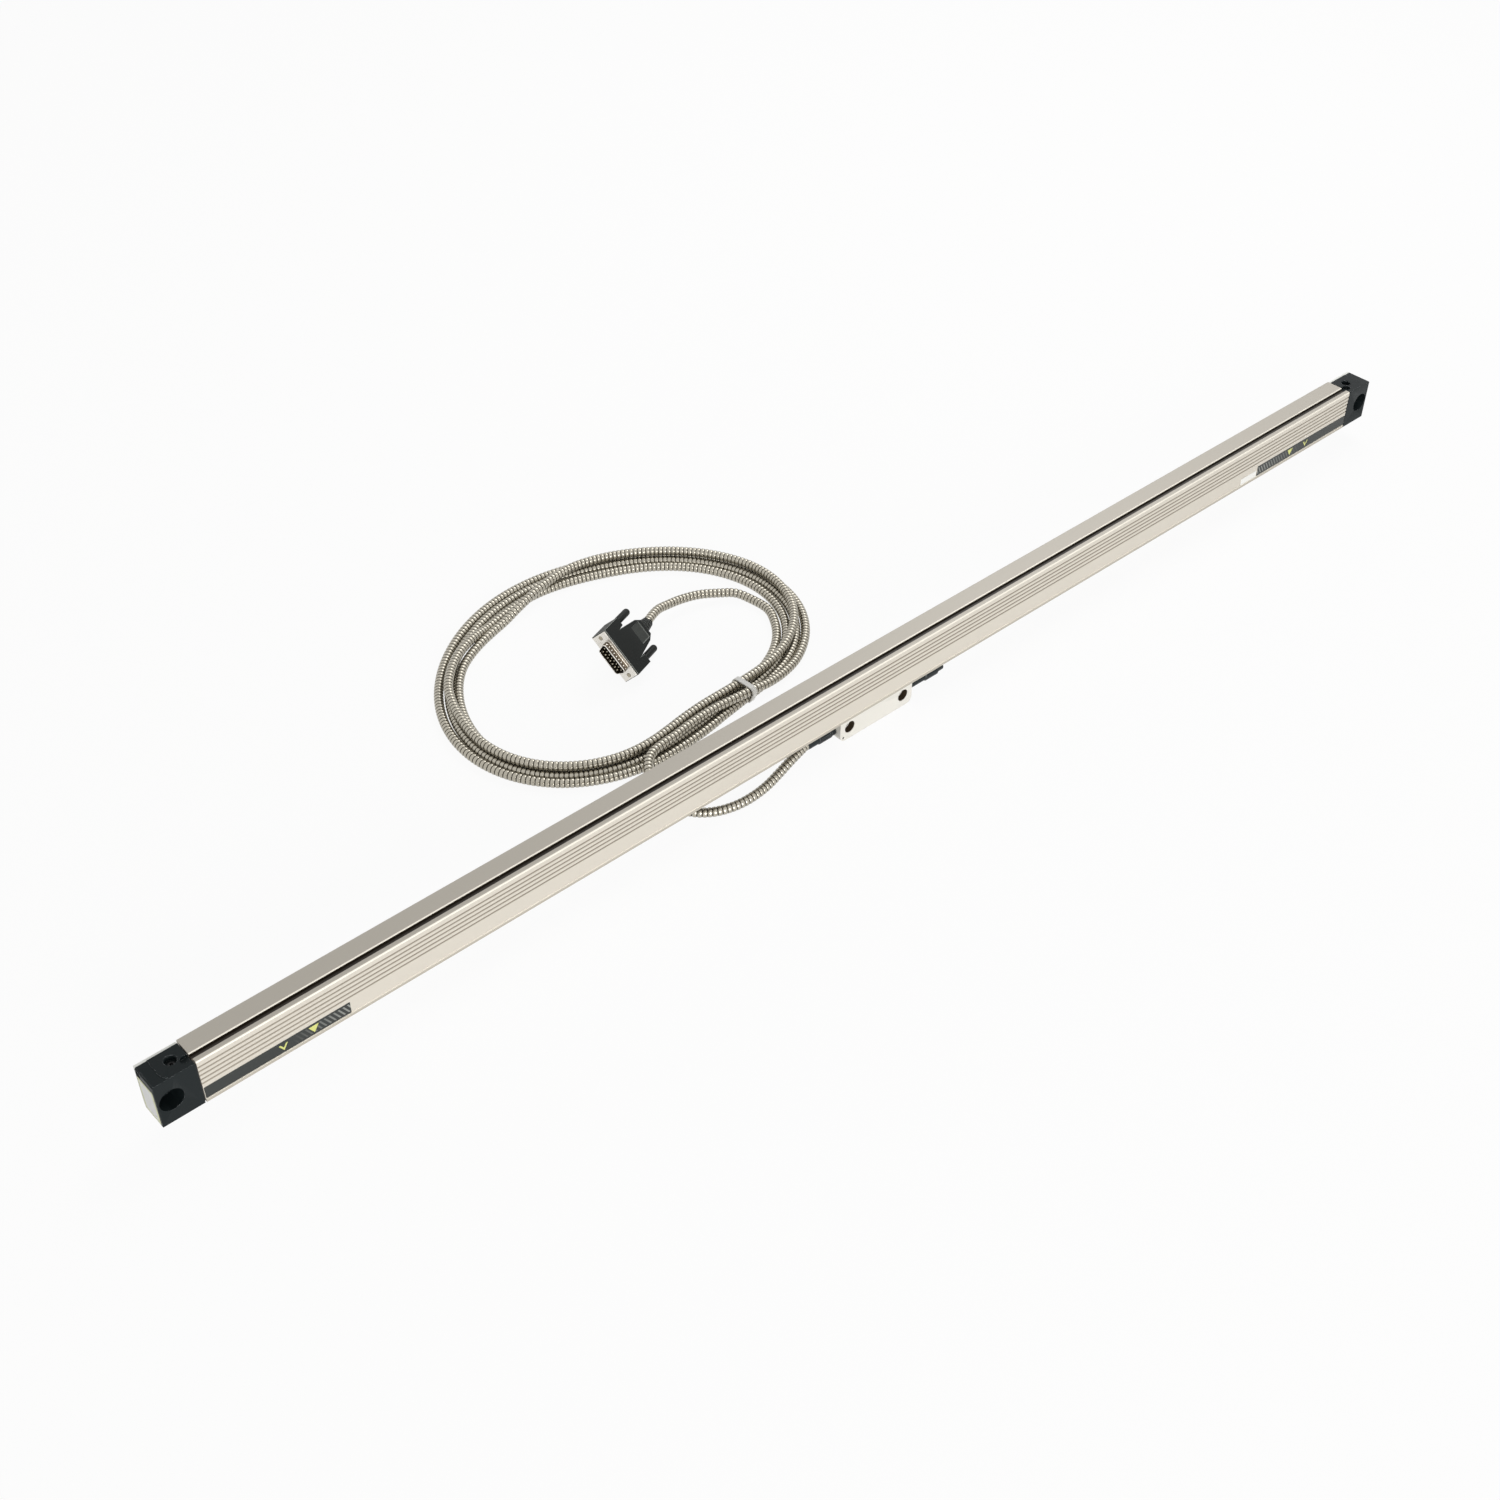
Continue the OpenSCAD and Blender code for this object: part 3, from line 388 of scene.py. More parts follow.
def surface_group():
    """Shared finish: a grain along one direction, soft stains and a fine speckle, from Object coordinates."""
    known = bpy.data.node_groups.get("metal_surface")
    if known:
        return known
    group = bpy.data.node_groups.new("metal_surface", "ShaderNodeTree")
    face = group.interface
    for name, default in (("Grain Length", 1.0), ("Grain Scale", 900.0), ("Speckle Scale", 4000.0),
                          ("Roughness", 0.4), ("Roughness Swing", 0.08), ("Stain", 0.06)):
        socket = face.new_socket(name, in_out="INPUT", socket_type="NodeSocketFloat")
        socket.default_value = default
    face.new_socket("Colour", in_out="INPUT", socket_type="NodeSocketColor")
    face.new_socket("Colour", in_out="OUTPUT", socket_type="NodeSocketColor")
    face.new_socket("Roughness", in_out="OUTPUT", socket_type="NodeSocketFloat")
    face.new_socket("Height", in_out="OUTPUT", socket_type="NodeSocketFloat")
    entry = group.nodes.new("NodeGroupInput").outputs
    leave = group.nodes.new("NodeGroupOutput").inputs
    place = group.nodes.new("ShaderNodeTexCoord").outputs["Object"]
    stretch = group.nodes.new("ShaderNodeCombineXYZ")
    set_values(stretch, Y=1.0, Z=1.0)
    feed(group, stretch.inputs["X"], entry["Grain Length"])
    drawn = vector_node(group, "MULTIPLY", place, stretch.outputs["Vector"]).outputs["Vector"]
    relief = group.nodes.new("ShaderNodeMix")
    feed(group, relief.inputs["Factor"], 0.35)
    feed(group, relief.inputs["A"], noise(group, drawn, entry["Grain Scale"], detail=3.0))
    feed(group, relief.inputs["B"], noise(group, place, entry["Speckle Scale"]))
    height = relief.outputs["Result"]
    roughness = math_node(group, "MULTIPLY_ADD", math_node(group, "SUBTRACT", height, 0.5),
                          entry["Roughness Swing"], entry["Roughness"])
    stain = noise(group, place, 14.0, detail=4.0)
    shade = math_node(group, "MULTIPLY_ADD", math_node(group, "SUBTRACT", stain, 0.5), entry["Stain"], 1.0)
    stained = vector_node(group, "SCALE", entry["Colour"], shade)
    feed(group, leave["Colour"], stained.outputs["Vector"])
    feed(group, leave["Roughness"], roughness)
    feed(group, leave["Height"], height)
    return group


def surface_node(tree, **values):
    """The shared surface group in a material, with plain values for its inputs."""
    surface = tree.nodes.new("ShaderNodeGroup")
    surface.node_tree = surface_group()
    set_values(surface, **values)
    return surface


def finish_material(name, colour, roughness, bump=0.02, bump_mm=0.05, grain=(0.02, 900.0), speckle=4000.0,
                    swing=0.1, stain=0.06, **values):
    """A material on the shared surface group, with plain values for the shader's other sockets."""
    material, tree, shader = new_material(name)
    surface = surface_node(tree, Grain_Length=grain[0], Grain_Scale=grain[1], Speckle_Scale=speckle,
                           Roughness=roughness, Roughness_Swing=swing, Stain=stain, Colour=colour4(colour))
    relief = tree.nodes.new("ShaderNodeBump")
    set_values(relief, Strength=bump, Distance=bump_mm * MM)
    feed(tree, relief.inputs["Height"], surface.outputs["Height"])
    feed(tree, shader.inputs["Base Color"], surface.outputs["Colour"])
    feed(tree, shader.inputs["Roughness"], surface.outputs["Roughness"])
    feed(tree, shader.inputs["Normal"], relief.outputs["Normal"])
    set_values(shader, **values)
    return material


def armour_material():
    """Steel ribs with painted shade in the grooves, told apart by the groove attribute of the cable's mesh.
    """
    material, tree, shader = new_material("armour_steel")
    groove = tree.nodes.new("ShaderNodeAttribute")
    groove.attribute_name = "groove"
    deep = ramp(tree, groove.outputs["Fac"], 0.05, 0.6)
    # the groove colour is painted shade, laid where the groove attribute is high
    feed(tree, shader.inputs["Base Color"], tint(tree, deep, colour4(cable().steel), cable().groove))
    wear = surface_node(tree, Grain_Length=1.0, Roughness=0.25, Roughness_Swing=0.2)
    feed(tree, shader.inputs["Roughness"], wear.outputs["Roughness"])
    set_values(shader, Metallic=0.85)
    return material


# the housing's profile in millimetres, where its painted shade, its painted highlights and its darker foot
# strip lie, and the painted highlights' colour
FLUTE_PITCH = 3.4
FIRST_FLUTE = UNDERSIDE + 15.6
LAST_FLUTE = FIRST_FLUTE + 4 * FLUTE_PITCH
GROOVE_FRONT = FRONT + 3.8
GROOVE_MIDDLE = FRONT + 5.6
GROOVE_BACK = FRONT + 8.2
FOOT = UNDERSIDE + 2.3
# colour of the painted highlights along the housing's edges
EDGE_HIGHLIGHT = (0.98, 0.93, 0.82)


def housing_material(f):
    """Satin anodised extrusion with fine grain lines along it; painted shade on the top, in the groove and in
    dark lines along each flute; painted highlights on the groove's back edge, the front top edge and the
    foot's ledge; and a darker foot strip.
    """
    material = finish_material("anodised_housing", f.housing, 0.42, bump=0.12, bump_mm=0.04,
                               grain=(0.004, 2600.0), swing=0.14, stain=0.05, Metallic=0.2)
    tree = material.node_tree
    _, y, z = split_place(tree)
    below_top = inside(tree, z, TOP - 7.0, TOP - 0.3)
    on_top = math_node(tree, "GREATER_THAN", z, TOP - 0.5)
    front = math_node(tree, "LESS_THAN", y, FRONT + 1.5)
    # the groove painted brown as shade in the recess, and darkest under its back lip as painted shadow
    groove = both(tree, inside(tree, y, GROOVE_FRONT, GROOVE_BACK), below_top)
    groove_shadow = both(tree, inside(tree, y, GROOVE_MIDDLE, GROOVE_BACK), below_top)
    # painted highlights along the groove's back edge and the housing's front top edge
    groove_highlight = both(tree, inside(tree, y, GROOVE_BACK - 0.25, GROOVE_BACK + 0.7), on_top)
    front_highlight = both(tree, math_node(tree, "LESS_THAN", y, FRONT + 0.8),
                      math_node(tree, "GREATER_THAN", z, TOP - 0.9))
    # dark lines of painted shade along each flute of the front face
    phase = repeats(tree, z, FLUTE_PITCH, 0.5 - FIRST_FLUTE / FLUTE_PITCH + 20.0)
    line = ramp(tree, away_from(tree, phase, 0.45), 0.23, 0.05, smooth=True)
    flute_shade = both(tree, front, inside(tree, z, FIRST_FLUTE - 1.4, LAST_FLUTE + 1.6), line)
    foot = both(tree, front, math_node(tree, "LESS_THAN", z, FOOT))
    # a painted highlight on the top of the foot's ledge
    foot_highlight = both(tree, front, inside(tree, z, FOOT, FOOT + 0.7))
    # painted shade: the top darker, the groove brown with a painted shadow under its back lip, and dark lines
    # along each flute; painted highlights on the groove's back edge, the front top edge and the foot's ledge;
    # the foot strip darker
    return paint(material, (on_top, [0.76 * v for v in f.housing]), (groove, (0.36, 0.285, 0.19)),
                 (groove_shadow, (0.024, 0.017, 0.010)), (groove_highlight, EDGE_HIGHLIGHT), (front_highlight, EDGE_HIGHLIGHT),
                 (flute_shade, (0.27, 0.235, 0.185)), (foot, (0.50, 0.46, 0.39)), (foot_highlight, (0.88, 0.84, 0.75)))


# the plug's finish in millimetres in its own frame: where the screws' steel starts, the painted shade at the
# pins' roots ends, and the hood's recess (painted sheen), the shell's wall (painted shade) and its row of
# dimples (painted highlights) lie
SCREW_STEEL = -2.0
PIN_ROOT = 4.3
PIN_PITCH = 2.77
RECESS_ALONG = (-37.6, -27.2)
RECESS_ACROSS = (-6.6, 6.6)
RECESS_FROM_MIDDLE = (4.0, 6.35)
SHELL_WALL = (0.35, 5.4)
DIMPLE_ROW = (2.5, 3.7)
KNURLS = 36
# the direction that a rounded edge faces where its painted highlight is brightest
EDGE_LIGHT = (-0.62, -0.12, 0.77)


def edge_material(name, colour, bright):
    """Rounded edges with a painted highlight where they face up or to the left."""
    material = finish_material(name, colour, 0.35, bump=0.05)
    tree = material.node_tree
    normal = tree.nodes.new("ShaderNodeNewGeometry").outputs["Normal"]
    facing = vector_node(tree, "DOT_PRODUCT", normal, EDGE_LIGHT).outputs["Value"]
    return paint(material, (ramp(tree, facing, 0.1, 0.7), bright))


def moulded_material(name, colour, roughness=0.42):
    """Moulded plastic with a fine spark-eroded grain."""
    return finish_material(name, colour, roughness, bump=0.3, bump_mm=0.03, grain=(1.0, 2600.0),
                           speckle=6000.0, swing=0.12, stain=0.2, Specular_IOR_Level=0.16)


GLASS_TINT = (0.80, 0.92, 0.88)


def glass_material(name):
    """Clear glass with a faint green tint."""
    material, tree, shader = new_material(name)
    surface = surface_node(tree, Roughness=0.05, Roughness_Swing=0.02)
    feed(tree, shader.inputs["Roughness"], surface.outputs["Roughness"])
    set_values(shader, Base_Color=colour4(GLASS_TINT), Transmission_Weight=0.9)
    return material


def graduated_glass():
    """Glass with a fine chrome graduation along its middle."""
    material = glass_material("scale_glass")
    tree = material.node_tree
    x, _, z = split_place(tree)
    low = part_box("glass_scale")[0].z / MM
    line = math_node(tree, "LESS_THAN", repeats(tree, x, 0.5, 0.0), 0.5)
    chrome = both(tree, line, inside(tree, z, low + 3.0, low + 8.0))
    colour = tint(tree, chrome, colour4(GLASS_TINT), (0.05, 0.06, 0.06))
    feed(tree, tree.nodes["Principled BSDF"].inputs["Base Color"], colour)
    return material


# ---------------------------------------------------------------- the cable's route

# millimetres; the same points as the construction's loose stretches
LEAD_ROUTE = [(-84, -6, 7), (-98, -9, 5), (-113, -12, 3.6), (-129, -13.5, 3.6), (-143, -12, 3.6),
              (-156, -7, 3.6), (-166, 2, 3.6), (-172, 15, 3.8), (-173, 29, 5.5), (-169, 42, 8.5),
              (-162, 53, 10.5), (-153, 59.5, 10.8), (-142, 62, 10.8)]
TAIL_ROUTE = [(21, 155.5, 3.6), (16, 165.5, 5.2), (7, 172.5, 5.8), (-7, 179, 7.8), (-22, 181.5, 9.9),
              (-38, 180.5, 12.7), (-51.5, 177.6, 15.2)]
# the coil's outer and inner strands: centre, radius, oval and egg, as in the construction
OUTER_STRAND = ((-98, 165.5), 128.5, 17.5, 5.6)
INNER_STRAND = ((-103, 158.5), 105.5, 22.5, 2.9)
OVAL_TURN = 4
EGG_TURN = -24
TIE_TURN = -62
# the strap round the strands: its middle in plan, and the direction that it lies in
STRAP_PLACE = (-57.5, 70.0)
STRAP_TURN = -84
# along the turns, in degrees after the tie: share of the way from the outer to the inner strand, and height
LEAD_IN = [(-45, 0.35, 10.7), (-35, 0.42, 10.5), (-20, 0.36, 10.4), (-8, 0.2, 10.2), (6, 0.03, 7.0),
           (20, 0.0, 3.9)]
FIRST_TURN = [(45, 0.0, 3.6), (290, 0.0, 3.6), (325, 0.04, 3.6), (345, 0.2, 3.6), (362, 0.33, 3.6)]
SECOND_TURN = [(380, 0.33, 3.6), (470, 0.27, 3.6), (512, 0.2, 3.6), (530, 0.21, 3.6), (560, 0.31, 3.6),
               (600, 0.55, 3.6), (630, 0.49, 3.6), (690, 0.43, 3.6), (718, 0.62, 3.6)]
THIRD_TURN = [(740, 0.66, 3.6), (830, 0.56, 3.6), (872, 0.41, 3.6), (897, 0.46, 3.8), (910, 0.47, 8.2),
              (922, 0.42, 10.1), (935, 0.42, 10.5), (960, 0.8, 9.9), (1010, 0.7, 9.9), (1045, 0.85, 10.4),
              (1080, 0.85, 10.4)]
FOURTH_TURN = [(1100, 0.64, 10.5), (1125, 0.3, 10.5), (1150, 0.13, 10.2), (1190, 0.12, 9.9),
               (1208, 0.2, 10.3), (1228, 0.48, 10.6), (1243, 0.63, 8.0), (1256, 0.65, 3.8), (1280, 0.64, 3.6),
               (1320, 1.1, 3.6), (1350, 0.97, 3.6), (1370, 0.88, 3.6), (1440, 1.0, 3.6), (1492, 1.0, 3.6)]
COIL_STEPS = LEAD_IN + FIRST_TURN + SECOND_TURN + THIRD_TURN + FOURTH_TURN


def strand_point(line, turn):
    """A point in plan on one of the coil's two bounding strands."""
    (x, y), radius, oval, egg = line
    r = (radius + oval * math.cos(math.radians(2 * (turn - OVAL_TURN)))
         + egg * math.cos(math.radians(3 * (turn - EGG_TURN))))
    return x + r * math.cos(math.radians(turn)), y + r * math.sin(math.radians(turn))


def eased(steps, at):
    """Values at a place along a list of steps, with smooth changes that never swing past a step."""
    slopes = [[(q - p) / (b - a) for p, q in zip(low, high)]
              for (a, *low), (b, *high) in zip(steps, steps[1:])]
    level = [0.0] * len(slopes[0])
    ways = [level]
    for left, right in zip(slopes, slopes[1:]):
        ways.append([2 * p * q / (p + q) if p * q > 0 else 0.0 for p, q in zip(left, right)])
    ways.append(level)
    for k, ((a, *low), (b, *high)) in enumerate(zip(steps, steps[1:])):
        if at <= b:
            t, span = max(0.0, (at - a) / (b - a)), b - a
            return [p * (1 + 2 * t) * (1 - t) ** 2 + m * span * t * (1 - t) ** 2
                    + q * t * t * (3 - 2 * t) + n * span * t * t * (t - 1)
                    for p, q, m, n in zip(low, high, ways[k], ways[k + 1])]
    return list(steps[-1][1:])


def coil_point(at):
    """The middle of the cable at an angle after the tie."""
    share, height = eased(COIL_STEPS, at)
    outer = strand_point(OUTER_STRAND, TIE_TURN + at)
    inner = strand_point(INNER_STRAND, TIE_TURN + at)
    return outer[0] + (inner[0] - outer[0]) * share, outer[1] + (inner[1] - outer[1]) * share, height


def coil_points(step=8):
    """The turns from the lead's way on to the coil round to where the tail leaves them."""
    first, last = COIL_STEPS[0][0], COIL_STEPS[-1][0]
    count = round((last - first) / step)
    return [coil_point(first + (last - first) * k / count) for k in range(count + 1)]


def smooth_line(points, spacing):
    """Points at an even spacing on a smooth curve through the given ones."""
    ends = [points[0] * 2 - points[1], *points, points[-1] * 2 - points[-2]]
    fine, steps = [], 12
    for a, b, c, d in zip(ends, ends[1:], ends[2:], ends[3:]):
        for k in range(steps):
            t = k / steps
            fine.append(0.5 * ((2 * b) + (c - a) * t + (2 * a - 5 * b + 4 * c - d) * t * t
                               + (3 * b - a - 3 * c + d) * t ** 3))
    fine.append(points[-1])
    reach = [0.0]
    for p, q in zip(fine, fine[1:]):
        reach.append(reach[-1] + (q - p).length)
    count = round(reach[-1] / spacing)
    line, k = [], 0
    for i in range(count + 1):
        want = reach[-1] * i / count
        while k < len(fine) - 2 and reach[k + 1] < want:
            k += 1
        share = (want - reach[k]) / max(reach[k + 1] - reach[k], 1e-9)
        line.append(fine[k].lerp(fine[k + 1], share))
    return line, reach[-1]


def cable_route():
    """The middle of the cable, from the connector's sleeve to the plug's boot, in metres."""
    start = Vector((SLEEVE_LOW.x, (SLEEVE_LOW.y + SLEEVE_HIGH.y) / 2, (SLEEVE_LOW.z + SLEEVE_HIGH.z) / 2))
    boot_low, boot_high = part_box("plug_boot")
    end = (boot_low + boot_high) / 2
    loose = [Vector(p) * MM for p in LEAD_ROUTE + coil_points() + TAIL_ROUTE]
    return [start] + loose + [end]


# ---------------------------------------------------------------- operators

# the floor's size and depth below the object, and each lamp's place and size with the point it aims at
FLOOR_SIZE = 30.0
FLOOR_DEPTH = 0.2 * MM
FLOOR_WHITE = 0.93
KEY_LAMP = ((-0.9, -2.5, 0.55), 1.6)
TOP_LAMP = ((1.1, 0.5, 1.4), 0.9)
LAMP_AIM = Vector((0.0, 0.05, 0.0))


class GLASSSCALE_OT_stage(bpy.types.Operator):
    """Camera, white floor and soft light"""

    bl_idname = "glass_scale.stage"
    bl_label = "Stage"

    def execute(self, context):
        s = stage_settings()
        context.scene.view_settings.view_transform = "Standard"
        deselect_all()
        bpy.ops.object.camera_add(location=s.camera_place, rotation=s.camera_turn)
        camera = context.active_object
        camera.data.lens = s.camera_lens
        camera.data.sensor_width = 36.0
        camera.data.clip_start = 0.01
        context.scene.camera = camera

        deselect_all()
        bpy.ops.mesh.primitive_plane_add(size=FLOOR_SIZE, location=(0.0, 0.0, -FLOOR_DEPTH))
        floor = context.active_object
        floor.name = "floor"
        coat(floor, self.floor_material())
        self.studio_world(context, s.fill)
        self.add_lamp(context, "key_lamp", s.key, *KEY_LAMP)
        self.add_lamp(context, "top_lamp", s.top, *TOP_LAMP)
        return {"FINISHED"}

    def add_lamp(self, context, name, power, place, size):
        """A square area lamp that faces the object."""
        deselect_all()
        bpy.ops.object.light_add(type="AREA", location=place)
        lamp = context.active_object
        lamp.name = name
        lamp.data.energy = power
        lamp.data.size = size
        lamp.rotation_euler = (LAMP_AIM - Vector(place)).to_track_quat("-Z", "Y").to_euler()

    def floor_material(self):
        """White to the camera and to reflections, with the object's shadow left in it."""
        material, tree, shader = new_material("floor_white")
        set_values(shader, Base_Color=(0.96, 0.96, 0.96, 1.0), Roughness=0.9)
        share = math_node(tree, "MULTIPLY", seen_directly(tree), FLOOR_WHITE)
        white = tree.nodes.new("ShaderNodeEmission").outputs["Emission"]
        feed(tree, tree.nodes["Material Output"].inputs["Surface"],
             mix_shaders(tree, share, shader.outputs["BSDF"], white))
        return material

    def studio_world(self, context, fill):
        """Even light from all round, white where it is seen directly."""
        world = bpy.data.worlds.new("studio")
        context.scene.world = world
        world.use_nodes = True
        tree = world.node_tree
        light = tree.nodes["Background"]
        set_values(light, Color=(1.0, 0.985, 0.96, 1.0), Strength=fill)
        white = tree.nodes.new("ShaderNodeBackground")
        set_values(white, Color=(1.0, 1.0, 1.0, 1.0))
        feed(tree, tree.nodes["World Output"].inputs["Surface"],
             mix_shaders(tree, seen_directly(tree), light.outputs["Background"], white.outputs["Background"]))


# rings of the mesh to each rib of the armour
RINGS_PER_RIB = 6
# the strap in millimetres: its gap round the strands, width, thickness and height above the floor
STRAP_GAP = 0.15
STRAP_WIDTH = 4.0
STRAP_THICKNESS = 0.9
STRAP_LOWEST = 0.05


class GLASSSCALE_OT_cable(bpy.types.Operator):
    """The armoured cable: a ribbed tube from the connector through the coil to the plug"""

    bl_idname = "glass_scale.cable"
    bl_label = "Cable"

    def execute(self, context):
        c = cable()
        line, length = smooth_line(cable_route(), c.rib_pitch / RINGS_PER_RIB)
        if length < 2.0:
            raise RuntimeError("the cable's route is too short")
        piece = self.ribbed_tube("armoured_cable", line, c)
        coat(piece, armour_material())
        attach(piece, "reading_head")
        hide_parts("cable_lead", "cable_coil", "cable_tail")
        plug = [frame["nodes"][n] for n in ("plug_insulator", "plug_pins")]
        plug += [bpy.data.objects[n] for n in ("hood_shell", "ribbed_boot", "plated_flange", "thumb_grips")]
        [self.strap(c)] + plug
        return {"FINISHED"}

    def strap(self, c):
        """A band drawn tight round the strands, square across them at the tie."""
        across = Vector((math.cos(math.radians(STRAP_TURN)), math.sin(math.radians(STRAP_TURN)), 0.0))
        along = Vector((-across.y, across.x, 0.0))
        middle = Vector((*STRAP_PLACE, 0.0))
        loop = self.outline(self.strand_rings(middle, across, along, c.diameter / MM / 2 + STRAP_GAP))
        half, thickness = STRAP_WIDTH / 2, STRAP_THICKNESS
        points, faces = [], []
        count = len(loop)
        for k, (u, h) in enumerate(loop):
            last, following = loop[k - 1], loop[(k + 1) % count]
            out = Vector((following[1] - last[1], last[0] - following[0])).normalized()
            for thick, aside in ((0.0, -half), (0.0, half), (thickness, half), (thickness, -half)):
                at = middle + across * (u + out.x * thick) + along * aside
                points.append((at + Vector((0.0, 0.0, max(h + out.y * thick, STRAP_LOWEST)))) * MM)
        for k in range(count):
            n = (k + 1) % count
            for a, b in ((0, 1), (1, 2), (2, 3), (3, 0)):
                faces.append((4 * k + a, 4 * n + a, 4 * n + b, 4 * k + b))
        piece = mesh_piece("cable_strap", points, faces)
        make_active(piece)
        bpy.ops.object.mode_set(mode="EDIT")
        bpy.ops.mesh.select_all(action="SELECT")
        bpy.ops.mesh.normals_make_consistent(inside=False)
        bpy.ops.object.mode_set(mode="OBJECT")
        bpy.ops.object.shade_smooth_by_angle(angle=math.radians(40))
        coat(piece, finish_material("tie_white", c.tie, 0.45, bump=0.1))
        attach(piece, "reading_head")
        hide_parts("cable_tie")
        return piece

    def strand_rings(self, middle, across, along, reach):
        """A ring of points round each strand, where it passes through the strap's plane."""
        points = []
        for turn in range(0, 1441, 360):
            for at in range(turn - 30, turn + 31, 2):
                here, there = Vector(coil_point(at)), Vector(coil_point(at + 2))
                before, after = (here - middle).dot(along), (there - middle).dot(along)
                if before * after <= 0:
                    crossing = here.lerp(there, before / (before - after))
                    skew = abs((there - here).normalized().dot(along))
                    points += [((crossing - middle).dot(across) + reach / skew * math.cos(math.radians(t)),
                                crossing.z + reach * math.sin(math.radians(t))) for t in range(0, 360, 15)]
                    break
        return points

    def outline(self, points):
        """The hull of points in a plane, in order round it."""
        points = sorted(set(points))

        def half(run):
            kept = []
            for p in run:
                while len(kept) > 1 and ((kept[-1][0] - kept[-2][0]) * (p[1] - kept[-2][1])
                                         - (kept[-1][1] - kept[-2][1]) * (p[0] - kept[-2][0])) <= 1e-9:
                    kept.pop()
                kept.append(p)
            return kept[:-1]
        return half(points) + half(points[::-1])

    def ribbed_tube(self, name, line, c, sides=12):
        """Rings along a line: five over each rib's rounded crown, and one deep in the groove."""
        crown = c.diameter / 2
        shoulder = crown - c.groove_depth * 0.3
        radii = (shoulder, crown, crown, crown, shoulder, crown - c.groove_depth)
        points, faces, deep = [], [], []
        up = Vector((0.0, 0.0, 1.0))
        last = len(line) - 1
        for i, at in enumerate(line):
            way = (line[min(i + 1, last)] - line[max(i - 1, 0)]).normalized()
            side = up.cross(way).normalized()
            rise = way.cross(side)
            ring = i % RINGS_PER_RIB
            for k in range(sides):
                turn = 2 * math.pi * k / sides
                points.append(at + radii[ring] * (math.cos(turn) * side + math.sin(turn) * rise))
                deep.append(1.0 if ring == RINGS_PER_RIB - 1 else 0.0)
        for i in range(last):
            for k in range(sides):
                n = (k + 1) % sides
                faces.append((i * sides + k, i * sides + n, (i + 1) * sides + n, (i + 1) * sides + k))
        faces.append(tuple(reversed(range(sides))))
        faces.append(tuple(last * sides + k for k in range(sides)))
        piece = mesh_piece(name, points, faces)
        piece.data.attributes.new("groove", "FLOAT", "POINT").data.foreach_set("value", deep)
        make_active(piece)
        bpy.ops.object.shade_smooth()
        return piece


class GLASSSCALE_OT_finishes(bpy.types.Operator):
    """Finishes of the construction's own pieces"""

    bl_idname = "glass_scale.finishes"
    bl_label = "Finishes"

    def execute(self, context):
        steel = finish_material("plain_steel", (0.55, 0.54, 0.51), 0.3, Metallic=0.9)
        bare = finish_material("bare_pads", (0.80, 0.81, 0.77), 0.4, Metallic=0.3)
        dark_steel = finish_material("dark_steel", (0.05, 0.05, 0.052), 0.35, Metallic=0.7)
        rubber = finish_material("seal_rubber", (0.02, 0.02, 0.021), 0.7)
        board = finish_material("board_green", (0.03, 0.16, 0.07), 0.4)
        bond = finish_material("bond_strip", (0.60, 0.57, 0.48), 0.6)
        cast = finish_material("carriage_casting", (0.60, 0.57, 0.50), 0.45, Metallic=0.4)
        insulator = moulded_material("dark_insulator", (0.010, 0.008, 0.007))
        module = moulded_material("module_black", (0.014, 0.016, 0.017))
        for material, nodes_of_it in (
                (housing_material(finishes()), ["scale_housing"]),
                (cast, ["carriage_frame"]),
                (bare, ["mounting_pads"]),
                (steel, ["head_blade", "blade_screws", "roller_pins", "edge_roller_left",
                         "edge_roller_right", "face_roller_left", "face_roller_right", "coupling_wire"]),
                (dark_steel, ["end_block_screws", "air_port_screws", "head_pin"]),
                (rubber, ["end_gaskets", "front_lip_seal", "rear_lip_seal", "port_seals"]),
                (insulator, ["plug_insulator"]),
                (module, ["light_module", "photo_cells"]),
                (self.pin_material(), ["plug_pins"]),
                (board, ["detector_board"]),
                (bond, ["glass_bond"]),
                (glass_material("lens_glass"), ["condenser_lens", "scanning_reticle"]),
                (graduated_glass(), ["glass_scale"])):
            for node in nodes_of_it:
                coat_node(node, material)
        return {"FINISHED"}

    def pin_material(self):
        """Gold pins with painted shade down towards the insulator."""
        gold = finish_material("contact_gold", (0.90, 0.84, 0.66), 0.25, Metallic=0.9)
        x, _, _ = split_plug_place(gold.node_tree)
        # painted shade on the pins' roots, down towards the insulator
        return paint(gold, (math_node(gold.node_tree, "LESS_THAN", x, PIN_ROOT), (0.10, 0.075, 0.035)))


